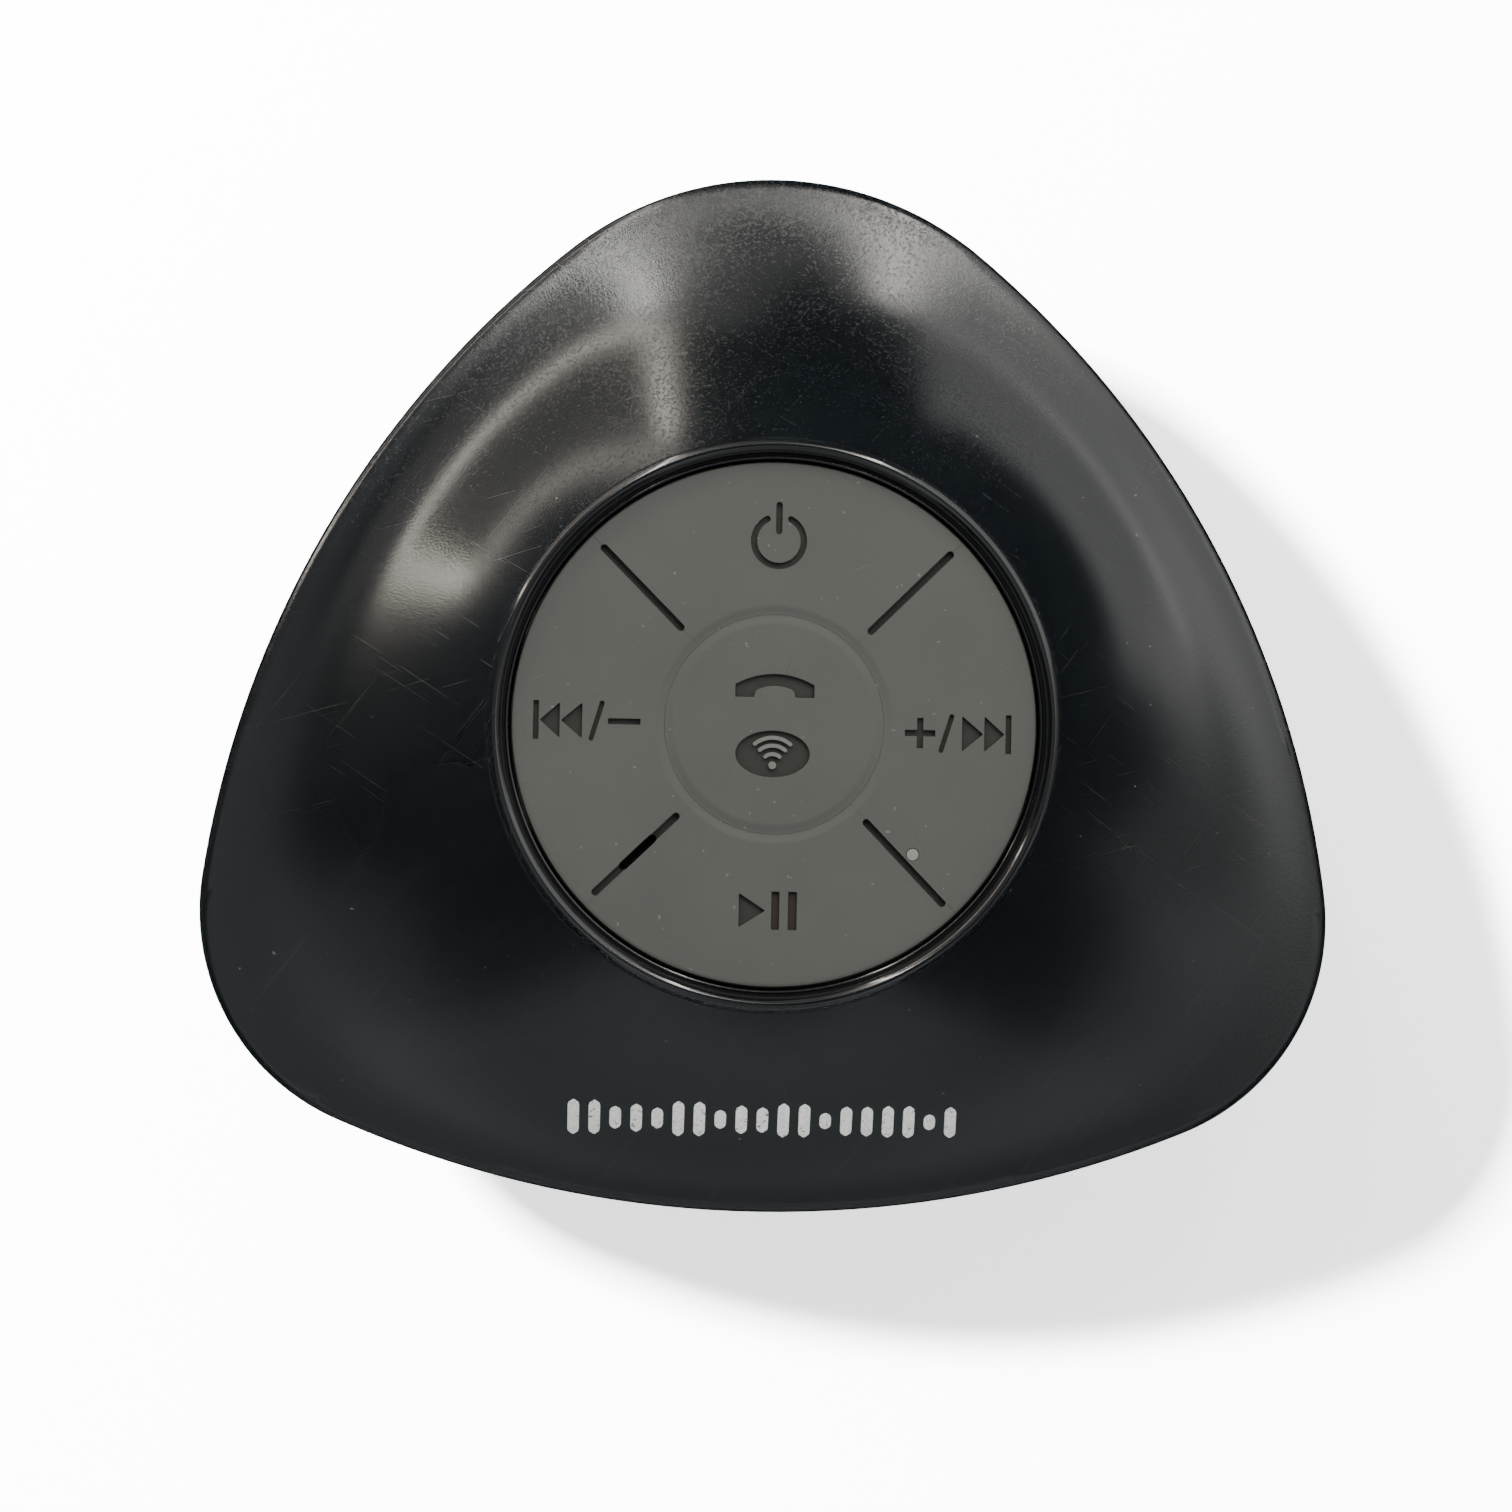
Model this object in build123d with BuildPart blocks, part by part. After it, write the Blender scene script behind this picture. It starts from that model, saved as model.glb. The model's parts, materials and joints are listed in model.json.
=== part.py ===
from build123d import *
from math import asin, atan2, cos, degrees, hypot, radians, sin, sqrt
import os

# A palm-size wireless shower speaker with a hands-free keypad, standing on its suction cup.
# Millimetres. +Z points out of the keypad and +Y to the apex of the three-sided face. The origin
# is on the surface that the cup stands on, under the middle of the face's outline.

# ---------------------------------------------------------------- outline of the face
outline_width = 88.9
outline_height = 81.6
side_radius = 78.0  # two long sides
bottom_radius = 86.0
apex_radius = 25.6
corner_radius = 18.0  # two lower corners

# ---------------------------------------------------------------- shells
wall = 2.2
parting_height = 26.0  # plane where the shells meet
brim_height = 3.0  # upright edge of the front shell above the parting plane
brim_round = 1.3
flare_power = 2.0  # how quickly the face flattens towards the brim
flare_reach = 1.15  # the flare is cut this far past the brim
bowl_power = 1.5  # the same for the rear shell
base_radius = 30.0  # flat back of the rear shell
base_thickness = 2.0
base_round = 1.2
lip_depth = 1.4  # front shell's locating lip below the parting plane
lip_thickness = 1.0
lip_gap = 0.6  # the rear shell's wall leans in below the parting plane
gasket_width = 0.8
gasket_depth = 1.0
fit_gap = 0.15  # clearance between moulded pieces

# ---------------------------------------------------------------- keypad and its ring
keypad_radius = 20.0
ring_width = 1.65  # bezel ring, seen from the front
ring_height = 3.1  # its crest above the shell
key_stand = 1.7  # key tops above the shell
key_travel = 0.35
key_lift = 0.6  # underside of a key above the web
divider_width = 0.6  # gap between two outer keys
centre_key_radius = 8.2
centre_key_gap = 0.3
switch_circle = 14.0  # radius that the outer keys' switches lie on
nub_radius = 1.5
nub_clearance = 0.4
key_corner = 0.5
key_edge = 0.3
web_thickness = 0.8
flange_overlap = 0.5  # keypad flange under the shell's ledge
ledge_thickness = 1.3
light_radius = 0.45
light_position = (10.7, -9.7)
microphone_circle = 14.4
microphone_angle = 225.0
slot_length = 3.4

# ---------------------------------------------------------------- stack, from the ground up
cup_height = 7.5  # ground to the rear shell
chamber_height = 5.1  # sound chamber in front of the driver
baffle_thickness = 2.0
driver_gasket_thickness = 0.5
driver_depth = 11.5
driver_clearance = 0.4
battery_thickness = 5.0
battery_width = 20.0
pad_thickness = 1.0
board_thickness = 1.2
switch_height = 0.9
switch_size = 4.4
plunger_radius = 0.8
plunger_stand = 0.4
plate_gap = 0.3  # switches to the carrier's plate
plate_thickness = 0.8
skirt_wall = 1.3  # keypad carrier's skirt
skirt_drop = 6.4  # its length under the plate's top

# ---------------------------------------------------------------- loudspeaker and rear
driver_radius = 20.0
cone_radius = 15.5
coil_radius = 6.1
motor_radius = 10.5
baffle_radius = 29.8
ledge_radius = 27.5
ledge_height = 1.2
mesh_thickness = 0.4
slot_count = 48
slot_width = 1.6
slot_height = 3.4
cup_radius = 28.0
cup_hollow = 3.4
cup_screw_hole = 1.7
cup_lip = 1.6  # flat rim that touches the ground
cup_tab = (11.0, 8.0)
boss_inset = 9.5  # housing screws inside the outline's corners
screw_radius = 1.1
screw_engagement = 3.4
screw_seat_drop = 7.4  # housing screw seats under the parting plane
boss_radius = 3.2
post_radius = 3.6  # rear shell's posts under the bosses
counterbore_radius = 2.5
carrier_boss_radius = 2.2
carrier_pilot_radius = 0.95
carrier_pilot_depth = 3.2
carrier_ring_thickness = 1.2

# ---------------------------------------------------------------- charging port
port_width = 12.0
port_height = 6.4
port_wall = 1.5  # walls beside the pocket, then above and below it
port_floor_wall = 1.2
port_floor = 33.6  # pocket floor, from the keypad axis
socket_width = 7.6
socket_height = 2.8
socket_depth = 5.6
socket_wall = 0.3
port_board_thickness = 1.0

# ---------------------------------------------------------------- values that follow
bottom_centre = (0.0, bottom_radius - outline_height / 2)
apex_centre = (0.0, outline_height / 2 - apex_radius)
corner_x = outline_width / 2 - corner_radius
corner_y = bottom_centre[1] - sqrt((bottom_radius - corner_radius) ** 2 - corner_x**2)


def tangent_centre(first, first_reach, second, second_reach):
    """Where two circles about two points meet, on the left of the line between them."""
    dx = second[0] - first[0]
    dy = second[1] - first[1]
    gap = hypot(dx, dy)
    along = (first_reach**2 - second_reach**2 + gap**2) / (2 * gap)
    across = sqrt(first_reach**2 - along**2)
    return (
        first[0] + (dx * along - dy * across) / gap,
        first[1] + (dy * along + dx * across) / gap,
    )


right_corner = (corner_x, corner_y)
right_side = tangent_centre(right_corner, side_radius - corner_radius, apex_centre, side_radius - apex_radius)
left_corner = (-corner_x, corner_y)
left_side = (-right_side[0], right_side[1])


def heading(start, end):
    """Direction from one point to another, in degrees."""
    return degrees(atan2(end[1] - start[1], end[0] - start[0]))


def outline_arcs():
    """The outline's six tangent arcs: centre, radius, first normal angle and sweep."""
    turn_bottom_right = heading(bottom_centre, right_corner)
    turn_right = heading(right_side, right_corner)
    turn_apex_right = heading(right_side, apex_centre)
    turns = [
        (right_corner, corner_radius, turn_bottom_right, turn_right),
        (right_side, side_radius, turn_right, turn_apex_right),
        (apex_centre, apex_radius, turn_apex_right, 180 - turn_apex_right),
        (left_side, side_radius, 180 - turn_apex_right, 180 - turn_right),
        (left_corner, corner_radius, 180 - turn_right, 180 - turn_bottom_right),
        (bottom_centre, bottom_radius, 180 - turn_bottom_right, 360 + turn_bottom_right),
    ]
    return [(centre, radius, first, last - first) for centre, radius, first, last in turns]


def inscribed_centre():
    """Height of the point that is equally far from the bottom and the two sides."""
    low = -outline_height / 2
    high = outline_height / 2
    for _ in range(40):
        middle = (low + high) / 2
        to_bottom = bottom_radius - (bottom_centre[1] - middle)
        to_side = side_radius - hypot(right_side[0], middle - right_side[1])
        if to_bottom < to_side:
            low = middle
        else:
            high = middle
    return (low + high) / 2


axis_y = inscribed_centre()
core_axis = Axis((0, axis_y, 0), (0, 0, 1))
profile_plane = Plane((0, axis_y, 0), x_dir=(1, 0, 0), z_dir=(0, -1, 0))

base_top = cup_height + base_thickness
baffle_bottom = base_top + chamber_height
baffle_top = baffle_bottom + baffle_thickness
flange_bottom = baffle_top + driver_gasket_thickness
driver_top = flange_bottom + driver_depth
battery_bottom = driver_top + driver_clearance
battery_top = battery_bottom + battery_thickness
board_bottom = battery_top + pad_thickness
board_top = board_bottom + board_thickness
switch_top = board_top + switch_height
plate_bottom = switch_top + plate_gap
plate_top = plate_bottom + plate_thickness
web_top = plate_top + web_thickness
shell_top = web_top + ledge_thickness
key_top = shell_top + key_stand
key_bottom = web_top + key_lift
brim_top = parting_height + brim_height

ring_radius = keypad_radius + ring_width + 0.2
spigot_inner = keypad_radius + 0.2
spigot_outer = keypad_radius + 0.7
bore_radius = spigot_outer + 0.05
flange_radius = bore_radius + flange_overlap
inner_top_radius = flange_radius + 0.2
shell_top_radius = ring_radius + 0.15
carrier_radius = flange_radius - 0.1
board_radius = carrier_radius - skirt_wall - 0.6
battery_length = 2 * sqrt((board_radius - 1.25) ** 2 - (battery_width / 2) ** 2)
skirt_bottom = plate_top - skirt_drop
carrier_boss_circle = carrier_radius + 3.3
port_board_bottom = baffle_top + 0.4
socket_bottom = port_board_bottom + port_board_thickness
socket_middle = socket_bottom + socket_height / 2

apex_reach = outline_height / 2 - axis_y
corner_reach = hypot(corner_x, corner_y - axis_y) + corner_radius
corner_angle = degrees(atan2(corner_y - axis_y, corner_x))
boss_places = [
    (90.0, apex_reach - boss_inset),
    (corner_angle, corner_reach - boss_inset),
    (180.0 - corner_angle, corner_reach - boss_inset),
]


def level(height):
    """Horizontal plane at a height, with its origin on the keypad axis."""
    return Plane((0, axis_y, height))


def polar(angle, distance):
    return (distance * cos(radians(angle)), distance * sin(radians(angle)))


def section(height, blend, core_radius, inset=0.0):
    """Horizontal section that turns from a circle (blend 0) into the outline (blend 1)."""
    with BuildSketch(Plane.XY.offset(height)) as shape:
        with BuildLine():
            for centre, radius, first, sweep in outline_arcs():
                middle = (centre[0] * blend, centre[1] * blend + axis_y * (1 - blend))
                CenterArc(middle, core_radius * (1 - blend) + (radius - inset) * blend, first, sweep)
        make_face()
    return shape.sketch


def flared(bottom, brim, top, core_radius, inset):
    """Solid with upright sides up to the brim, then a hollow flare up to the core circle."""
    count = 6
    sections = []
    for index in range(count):
        blend = flare_reach * (1 - index / (count - 1))
        rise = abs(1 - blend) ** flare_power
        height = brim + (top - brim) * (rise if blend < 1 else -rise)
        sections.append(section(height, blend, core_radius, inset))
    lowest = brim - (top - brim) * (flare_reach - 1) ** flare_power
    with BuildPart() as waste:
        extrude(section(lowest, 1.5, core_radius, inset), amount=top - lowest)
        loft(sections, mode=Mode.SUBTRACT)
    with BuildPart() as blank:
        extrude(section(bottom, 1, core_radius, inset), amount=top - bottom)
        add(waste.part, mode=Mode.SUBTRACT)
    return blank


def bowl_sections(bottom, core_radius, inset):
    """Sections of the rear shell, from its flat back up to the parting plane."""
    count = 5
    sections = []
    for index in range(count):
        share = index / (count - 1)
        height = bottom + (parting_height - bottom) * share
        sections.append(section(height, 1 - (1 - share) ** bowl_power, core_radius, inset))
    return sections


def ring(bottom, top, outer, inner=0.0):
    """Disc or ring about the keypad axis."""
    with BuildPart() as blank:
        with BuildSketch(level(bottom)):
            Circle(outer)
            if inner > 0:
                Circle(inner, mode=Mode.SUBTRACT)
        extrude(amount=top - bottom)
    return blank


def turned(*points):
    """Solid of revolution about the keypad axis, from (radius, height) points."""
    with BuildPart() as blank:
        with BuildSketch(profile_plane):
            with BuildLine():
                Polyline(*points, close=True)
            make_face()
        revolve(axis=core_axis)
    return blank


def pegs(places, bottom, top, radius):
    """Round pegs at (x, y) places measured from the keypad axis."""
    with BuildPart() as blank:
        with BuildSketch(level(bottom)):
            with Locations(*places):
                Circle(radius)
        extrude(amount=top - bottom)
    return blank


def block(centre, size, bottom, top):
    """Upright block whose centre is measured from the keypad axis."""
    with BuildPart() as blank:
        with BuildSketch(level(bottom)):
            with Locations(centre):
                Rectangle(*size)
        extrude(amount=top - bottom)
    return blank


def screws(places, seat, tip, radius, head_radius, head_height, upward=True):
    """Pan-head screws: the heads rest on the seat height and the shafts run to the tip."""
    far = seat - head_height if upward else seat + head_height
    with BuildPart() as blank:
        with BuildSketch(level(min(seat, far))):
            with Locations(*places):
                Circle(head_radius)
        extrude(amount=head_height)
        with BuildSketch(level(min(seat, tip))):
            with Locations(*places):
                Circle(radius)
        extrude(amount=abs(tip - seat))
        with BuildSketch(level(far)):
            with Locations(*places):
                Rectangle(head_radius * 1.2, head_radius * 0.3)
                Rectangle(head_radius * 0.3, head_radius * 1.2)
        extrude(amount=head_height * (0.5 if upward else -0.5), mode=Mode.SUBTRACT)
    return blank


def leads(routes, radius, bend):
    """Insulated wires along straight runs and tangent arcs, in keypad-axis coordinates."""
    with BuildPart() as blank:
        for route in routes:
            with BuildLine() as path:
                FilletPolyline(*[(x, y + axis_y, z) for x, y, z in route], radius=bend)
            with BuildSketch(Plane(path.line @ 0, z_dir=path.line % 0)):
                Circle(radius)
            sweep(path=path.line)
    return blank


pieces = {}

# ---------------------------------------------------------------- front shell
boss_points = [polar(angle, distance) for angle, distance in boss_places]
carrier_points = [polar(angle, carrier_boss_circle) for angle, distance in boss_places]
lip_inset = wall + lip_gap
rib_inset = wall * 0.7  # rib that carries the lip
rib_height = wall * 0.7

with BuildPart() as front_form:
    add(flared(parting_height, brim_top, shell_top, shell_top_radius, 0.0).part)
    fillet(front_form.edges().filter_by_position(Axis.Z, brim_top - 0.1, brim_top + 0.1), brim_round)

with BuildPart() as front_bosses:
    add(pegs(boss_points, parting_height, shell_top, boss_radius).part)
    add(pegs(carrier_points, skirt_bottom, shell_top, carrier_boss_radius).part)
    add(front_form.part, mode=Mode.INTERSECT)

with BuildPart() as front_shell:
    add(front_form.part)
    cavity = flared(parting_height, brim_top - wall, web_top, inner_top_radius, wall)
    add(cavity.part, mode=Mode.SUBTRACT)
    with BuildSketch(level(web_top)):
        Circle(bore_radius)
    extrude(amount=shell_top - web_top, mode=Mode.SUBTRACT)
    add(front_bosses.part)
    with BuildSketch(Plane.XY.offset(parting_height)):
        add(section(0, 1, 0, rib_inset))
        add(section(0, 1, 0, lip_inset + lip_thickness), mode=Mode.SUBTRACT)
    extrude(amount=rib_height)
    with BuildSketch(Plane.XY.offset(parting_height - lip_depth)):
        add(section(0, 1, 0, lip_inset))
        add(section(0, 1, 0, lip_inset + lip_thickness), mode=Mode.SUBTRACT)
    extrude(amount=lip_depth)
    with BuildSketch(level(parting_height)):
        with Locations(*boss_points):
            Circle(screw_radius + 0.05)
    extrude(amount=screw_engagement + 0.3, mode=Mode.SUBTRACT)
    with BuildSketch(level(skirt_bottom)):
        with Locations(*carrier_points):
            Circle(carrier_pilot_radius)
    extrude(amount=carrier_pilot_depth, mode=Mode.SUBTRACT)
pieces["front_shell"] = front_shell

# ---------------------------------------------------------------- bezel ring
crest = shell_top + ring_height
with BuildPart() as bezel_ring:
    with BuildSketch(profile_plane):
        with BuildLine():
            Polyline(
                (spigot_outer - 0.15, crest - 0.35),
                (spigot_outer - 0.2, key_top + 0.2),
                (spigot_inner, key_top + 0.1),
                (spigot_inner, web_top + 0.2),
                (spigot_outer, web_top + 0.2),
                (spigot_outer, shell_top),
                (ring_radius, shell_top),
                (ring_radius, shell_top + 0.6),
                (ring_radius - 0.55, crest - 0.3),
            )
            ThreePointArc(
                (ring_radius - 0.55, crest - 0.3),
                (spigot_outer + 0.2, crest),
                (spigot_outer - 0.15, crest - 0.35),
            )
        make_face()
    revolve(axis=core_axis)
pieces["bezel_ring"] = bezel_ring

# ---------------------------------------------------------------- keypad
outer_key_angles = {
    "power": 90.0,
    "previous": 180.0,
    "next": 0.0,
    "play_pause": 270.0,
}
nub_places = {name: polar(angle, switch_circle) for name, angle in outer_key_angles.items()}
nub_places["call"] = (0.0, 0.0)
switch_points = list(nub_places.values())
nub_bottom = switch_top + plunger_stand
microphone_point = polar(microphone_angle, microphone_circle)
microphone_radius = 2.0
boot_radius = microphone_radius + 0.6

with BuildPart() as keypad_web:
    with BuildSketch(level(plate_top)):
        Circle(flange_radius)
        with Locations(*switch_points):
            Circle(nub_radius + nub_clearance, mode=Mode.SUBTRACT)
        with Locations(light_position):
            Circle(light_radius + 0.05, mode=Mode.SUBTRACT)
        with Locations(microphone_point):
            SlotOverall(slot_length, divider_width, rotation=microphone_angle, mode=Mode.SUBTRACT)
    extrude(amount=web_thickness)
pieces["keypad_web"] = keypad_web


def outer_key(angle):
    """Quarter-ring key with a nub under it; it moves clear of the light pipe."""
    shift = divider_width / 2 / sin(radians(45))
    reach = keypad_radius * 1.5
    apex = polar(angle, shift)
    with BuildPart() as key:
        with BuildSketch(level(key_bottom)) as cap:
            Circle(keypad_radius)
            Circle(centre_key_radius + centre_key_gap, mode=Mode.SUBTRACT)
            with BuildLine():
                Polyline(
                    apex,
                    (apex[0] + polar(angle - 45, reach)[0], apex[1] + polar(angle - 45, reach)[1]),
                    (apex[0] + polar(angle + 45, reach)[0], apex[1] + polar(angle + 45, reach)[1]),
                    close=True,
                )
            make_face(mode=Mode.INTERSECT)
            fillet(cap.vertices(), key_corner)
            with Locations(light_position):
                Circle(light_radius + 0.25, mode=Mode.SUBTRACT)
        extrude(amount=key_top - key_bottom)
        with BuildSketch(level(nub_bottom)):
            with Locations(polar(angle, switch_circle)):
                Circle(nub_radius)
        extrude(amount=key_bottom - nub_bottom)
    return key


for name, angle in outer_key_angles.items():
    pieces["key_" + name] = outer_key(angle)

with BuildPart() as key_call:
    with BuildSketch(level(key_bottom)):
        Circle(centre_key_radius)
    extrude(amount=key_top - key_bottom)
    fillet(key_call.faces().sort_by(Axis.Z)[-1].edges(), key_edge)
    with BuildSketch(level(nub_bottom)):
        Circle(nub_radius)
    extrude(amount=key_bottom - nub_bottom)
pieces["key_call"] = key_call

plunger_bottom = board_top + 0.5
for name, place in nub_places.items():
    pieces["plunger_" + name] = pegs([place], plunger_bottom, nub_bottom, plunger_radius)

with BuildPart() as switch_bodies:
    with BuildSketch(level(board_top)):
        with Locations(*switch_points):
            Rectangle(switch_size, switch_size)
    extrude(amount=switch_height)
    with BuildSketch(level(plunger_bottom - key_travel - 0.05)):
        with Locations(*switch_points):
            Circle(plunger_radius + 0.1)
    extrude(amount=switch_height, mode=Mode.SUBTRACT)
pieces["switch_bodies"] = switch_bodies

led_height = 0.7
pieces["light_pipe"] = pegs([light_position], board_top + led_height, key_top - 0.05, light_radius)
pieces["status_led"] = block(light_position, (1.6, 0.8), board_top, board_top + led_height)
microphone_top = board_top + 1.0
pieces["microphone"] = pegs([microphone_point], board_top, microphone_top, microphone_radius)
with BuildPart() as microphone_boot:
    with BuildSketch(level(board_top)):
        with Locations(microphone_point):
            Circle(boot_radius)
    extrude(amount=plate_top - board_top)
    with BuildSketch(level(board_top)):
        with Locations(microphone_point):
            Circle(microphone_radius)
    extrude(amount=microphone_top - board_top, mode=Mode.SUBTRACT)
    with BuildSketch(level(microphone_top)):
        with Locations(microphone_point):
            SlotOverall(slot_length, divider_width * 1.5, rotation=microphone_angle)
    extrude(amount=plate_top - microphone_top, mode=Mode.SUBTRACT)
pieces["microphone_boot"] = microphone_boot

# ---------------------------------------------------------------- keypad carrier and control board
board_screw_inset = 2.5
board_screw_angles = (40.0, 140.0, 250.0)
board_screw_points = [polar(angle, board_radius - board_screw_inset) for angle in board_screw_angles]
with BuildPart() as keypad_carrier:
    with BuildSketch(level(plate_bottom)):
        Circle(carrier_radius)
        with Locations(*switch_points):
            Circle(nub_radius + nub_clearance, mode=Mode.SUBTRACT)
        with Locations(microphone_point):
            Circle(boot_radius + 0.1, mode=Mode.SUBTRACT)
        with Locations(light_position):
            Circle(light_radius + 0.1, mode=Mode.SUBTRACT)
    extrude(amount=plate_thickness)
    with BuildSketch(level(skirt_bottom)):
        Circle(carrier_radius)
        Circle(carrier_radius - skirt_wall, mode=Mode.SUBTRACT)
    extrude(amount=skirt_drop - plate_thickness)
    with BuildSketch(level(skirt_bottom - carrier_ring_thickness)):
        Circle(carrier_radius)
        for angle, distance in boss_places:
            with Locations(polar(angle, carrier_radius)):
                Rectangle(6.6, 5.2, rotation=angle)
        with Locations(*carrier_points):
            Circle(2.6)
        Circle(carrier_radius - skirt_wall, mode=Mode.SUBTRACT)
        with Locations(*carrier_points):
            Circle(1.1, mode=Mode.SUBTRACT)
    extrude(amount=carrier_ring_thickness)
    with BuildSketch(level(board_top)):
        with Locations(*board_screw_points):
            Circle(1.7)
    extrude(amount=plate_bottom - board_top)
    with BuildSketch(level(board_top)):
        with Locations(*board_screw_points):
            Circle(0.8)
    extrude(amount=plate_bottom - board_top + 0.4, mode=Mode.SUBTRACT)
pieces["keypad_carrier"] = keypad_carrier
pieces["carrier_screws"] = screws(
    carrier_points,
    skirt_bottom - carrier_ring_thickness,
    skirt_bottom + carrier_pilot_depth - 0.2,
    carrier_pilot_radius - 0.05,
    1.9,
    1.2,
)

with BuildPart() as control_board:
    with BuildSketch(level(board_bottom)):
        Circle(board_radius)
        with Locations(*board_screw_points):
            Circle(0.95, mode=Mode.SUBTRACT)
    extrude(amount=board_thickness)
pieces["control_board"] = control_board
pieces["board_screws"] = screws(board_screw_points, board_bottom, plate_bottom + 0.2, 0.75, 1.6, 0.8)

module_y = board_radius - 5.3
pieces["wireless_module"] = block((0, module_y), (12.0, 7.0), board_bottom - 1.6, board_bottom)
pieces["audio_chip"] = block((1.0, -module_y), (6.0, 6.0), board_bottom - 1.0, board_bottom)
pieces["amplifier_chip"] = block((8.0, 1.0 - module_y), (5.0, 5.0), board_bottom - 0.9, board_bottom)
battery_socket_centre = (2.2 - board_radius, -2.5)
battery_socket_bottom = board_bottom - 1.8
pieces["battery_socket"] = block(battery_socket_centre, (2.6, 4.0), battery_socket_bottom, board_bottom)
capacitor_x = board_radius - 2.1
pieces["capacitors"] = pegs([(capacitor_x, -5.6), (capacitor_x, -2.4)], board_bottom - 2.2, board_bottom, 1.4)

with BuildPart() as battery_cell:
    with BuildSketch(level(battery_bottom)):
        RectangleRounded(battery_length, battery_width, 1.0)
    extrude(amount=battery_thickness)
    fillet(battery_cell.edges().filter_by(Axis.Z, reverse=True), 0.8)
pieces["battery_cell"] = battery_cell
pieces["battery_pad"] = block((0, 0), (battery_length - 4.0, battery_width - 4.0), battery_top, board_bottom)

# ---------------------------------------------------------------- loudspeaker, facing down
flange_top = flange_bottom + 1.0
frame_top = driver_top - 5.0
plate_front_top = frame_top + 1.4
magnet_top = driver_top - 1.0
pole_radius = coil_radius - 0.5
gap_radius = coil_radius + 0.6
spider_height = frame_top - 1.6

with BuildPart() as driver_basket:
    with BuildSketch(profile_plane):
        with BuildLine():
            Polyline(
                (driver_radius, flange_bottom),
                (driver_radius, flange_top),
                (driver_radius - 2.0, flange_top),
                (motor_radius + 1.5, frame_top),
                (gap_radius + 0.3, frame_top),
                (gap_radius + 0.3, frame_top - 0.9),
                (motor_radius + 0.8, frame_top - 0.9),
                (driver_radius - 3.0, flange_top - 0.3),
                (driver_radius - 3.0, flange_bottom),
                close=True,
            )
        make_face()
    revolve(axis=core_axis)
    with BuildSketch(level(flange_top + 0.9)):
        with PolarLocations(driver_radius - 4.4, 6):
            Rectangle(6.0, 7.0)
    extrude(amount=2.0, mode=Mode.SUBTRACT)
    driver_screw_points = [polar(angle, driver_radius - 1.0) for angle in (45.0, 135.0, 225.0, 315.0)]
    with BuildSketch(level(flange_bottom)):
        with Locations(*driver_screw_points):
            Circle(0.7)
    extrude(amount=flange_top - flange_bottom, mode=Mode.SUBTRACT)
pieces["driver_basket"] = driver_basket
pieces["driver_top_plate"] = ring(frame_top, plate_front_top, motor_radius, gap_radius)
pieces["driver_magnet"] = ring(plate_front_top, magnet_top, motor_radius, gap_radius + 0.6)
with BuildPart() as driver_yoke:
    add(ring(magnet_top, driver_top, motor_radius).part)
    add(ring(frame_top, magnet_top, pole_radius).part)
pieces["driver_yoke"] = driver_yoke
terminal_x = motor_radius + 2.3
terminal_y = 2.7
pieces["driver_terminal"] = block((terminal_x, terminal_y), (4.0, 3.4), frame_top, frame_top + 0.6)

cone_neck = flange_top + 3.0
cone_edge = flange_bottom + 0.4
with BuildPart() as driver_coil:
    add(ring(cone_neck, frame_top + 2.4, coil_radius + 0.1, coil_radius - 0.1).part)
    add(ring(frame_top - 0.4, frame_top + 1.8, coil_radius + 0.35, coil_radius).part)
pieces["driver_coil"] = driver_coil
pieces["driver_cone"] = turned(
    (coil_radius + 0.1, cone_neck),
    (cone_radius, cone_edge),
    (cone_radius, cone_edge + 0.4),
    (coil_radius + 0.1, cone_neck + 0.5),
)
cap_rise = 2.0
cap_wall = 0.3
cap_edge = coil_radius - 0.15
cap_radius = (cap_edge**2 + cap_rise**2) / (2 * cap_rise)
cap_sweep = degrees(asin(cap_edge / cap_radius))
cap_centre = (0, cone_neck - cap_rise + cap_radius)
with BuildPart() as driver_dust_cap:
    with BuildSketch(profile_plane):
        with BuildLine():
            outer_arc = CenterArc(cap_centre, cap_radius, -90, cap_sweep)
            inner_arc = CenterArc(cap_centre, cap_radius - cap_wall, -90, cap_sweep)
            Line(outer_arc @ 1, inner_arc @ 1)
            Line(inner_arc @ 0, outer_arc @ 0)
        make_face()
    revolve(axis=core_axis)
pieces["driver_dust_cap"] = driver_dust_cap

roll_inner = cone_radius
roll_outer = driver_radius - 3.0
roll_middle = (roll_inner + roll_outer) / 2
with BuildPart() as driver_surround:
    with BuildSketch(profile_plane):
        with BuildLine():
            ThreePointArc((roll_inner, cone_edge), (roll_middle, cone_edge - 0.7), (roll_outer, cone_edge))
            Line((roll_outer, cone_edge), (roll_outer, cone_edge + 0.3))
            ThreePointArc(
                (roll_outer, cone_edge + 0.3), (roll_middle, cone_edge - 0.4), (roll_inner, cone_edge + 0.3)
            )
            Line((roll_inner, cone_edge + 0.3), (roll_inner, cone_edge))
        make_face()
    revolve(axis=core_axis)
pieces["driver_surround"] = driver_surround
spider_outer = motor_radius + 1.2
pieces["driver_spider"] = turned(
    (coil_radius + 0.1, spider_height),
    (7.8, spider_height + 0.4),
    (9.2, spider_height - 0.2),
    (spider_outer - 0.6, spider_height + 0.3),
    (spider_outer - 0.6, spider_height + 0.6),
    (9.2, spider_height + 0.1),
    (7.8, spider_height + 0.7),
    (coil_radius + 0.1, spider_height + 0.3),
)

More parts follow.
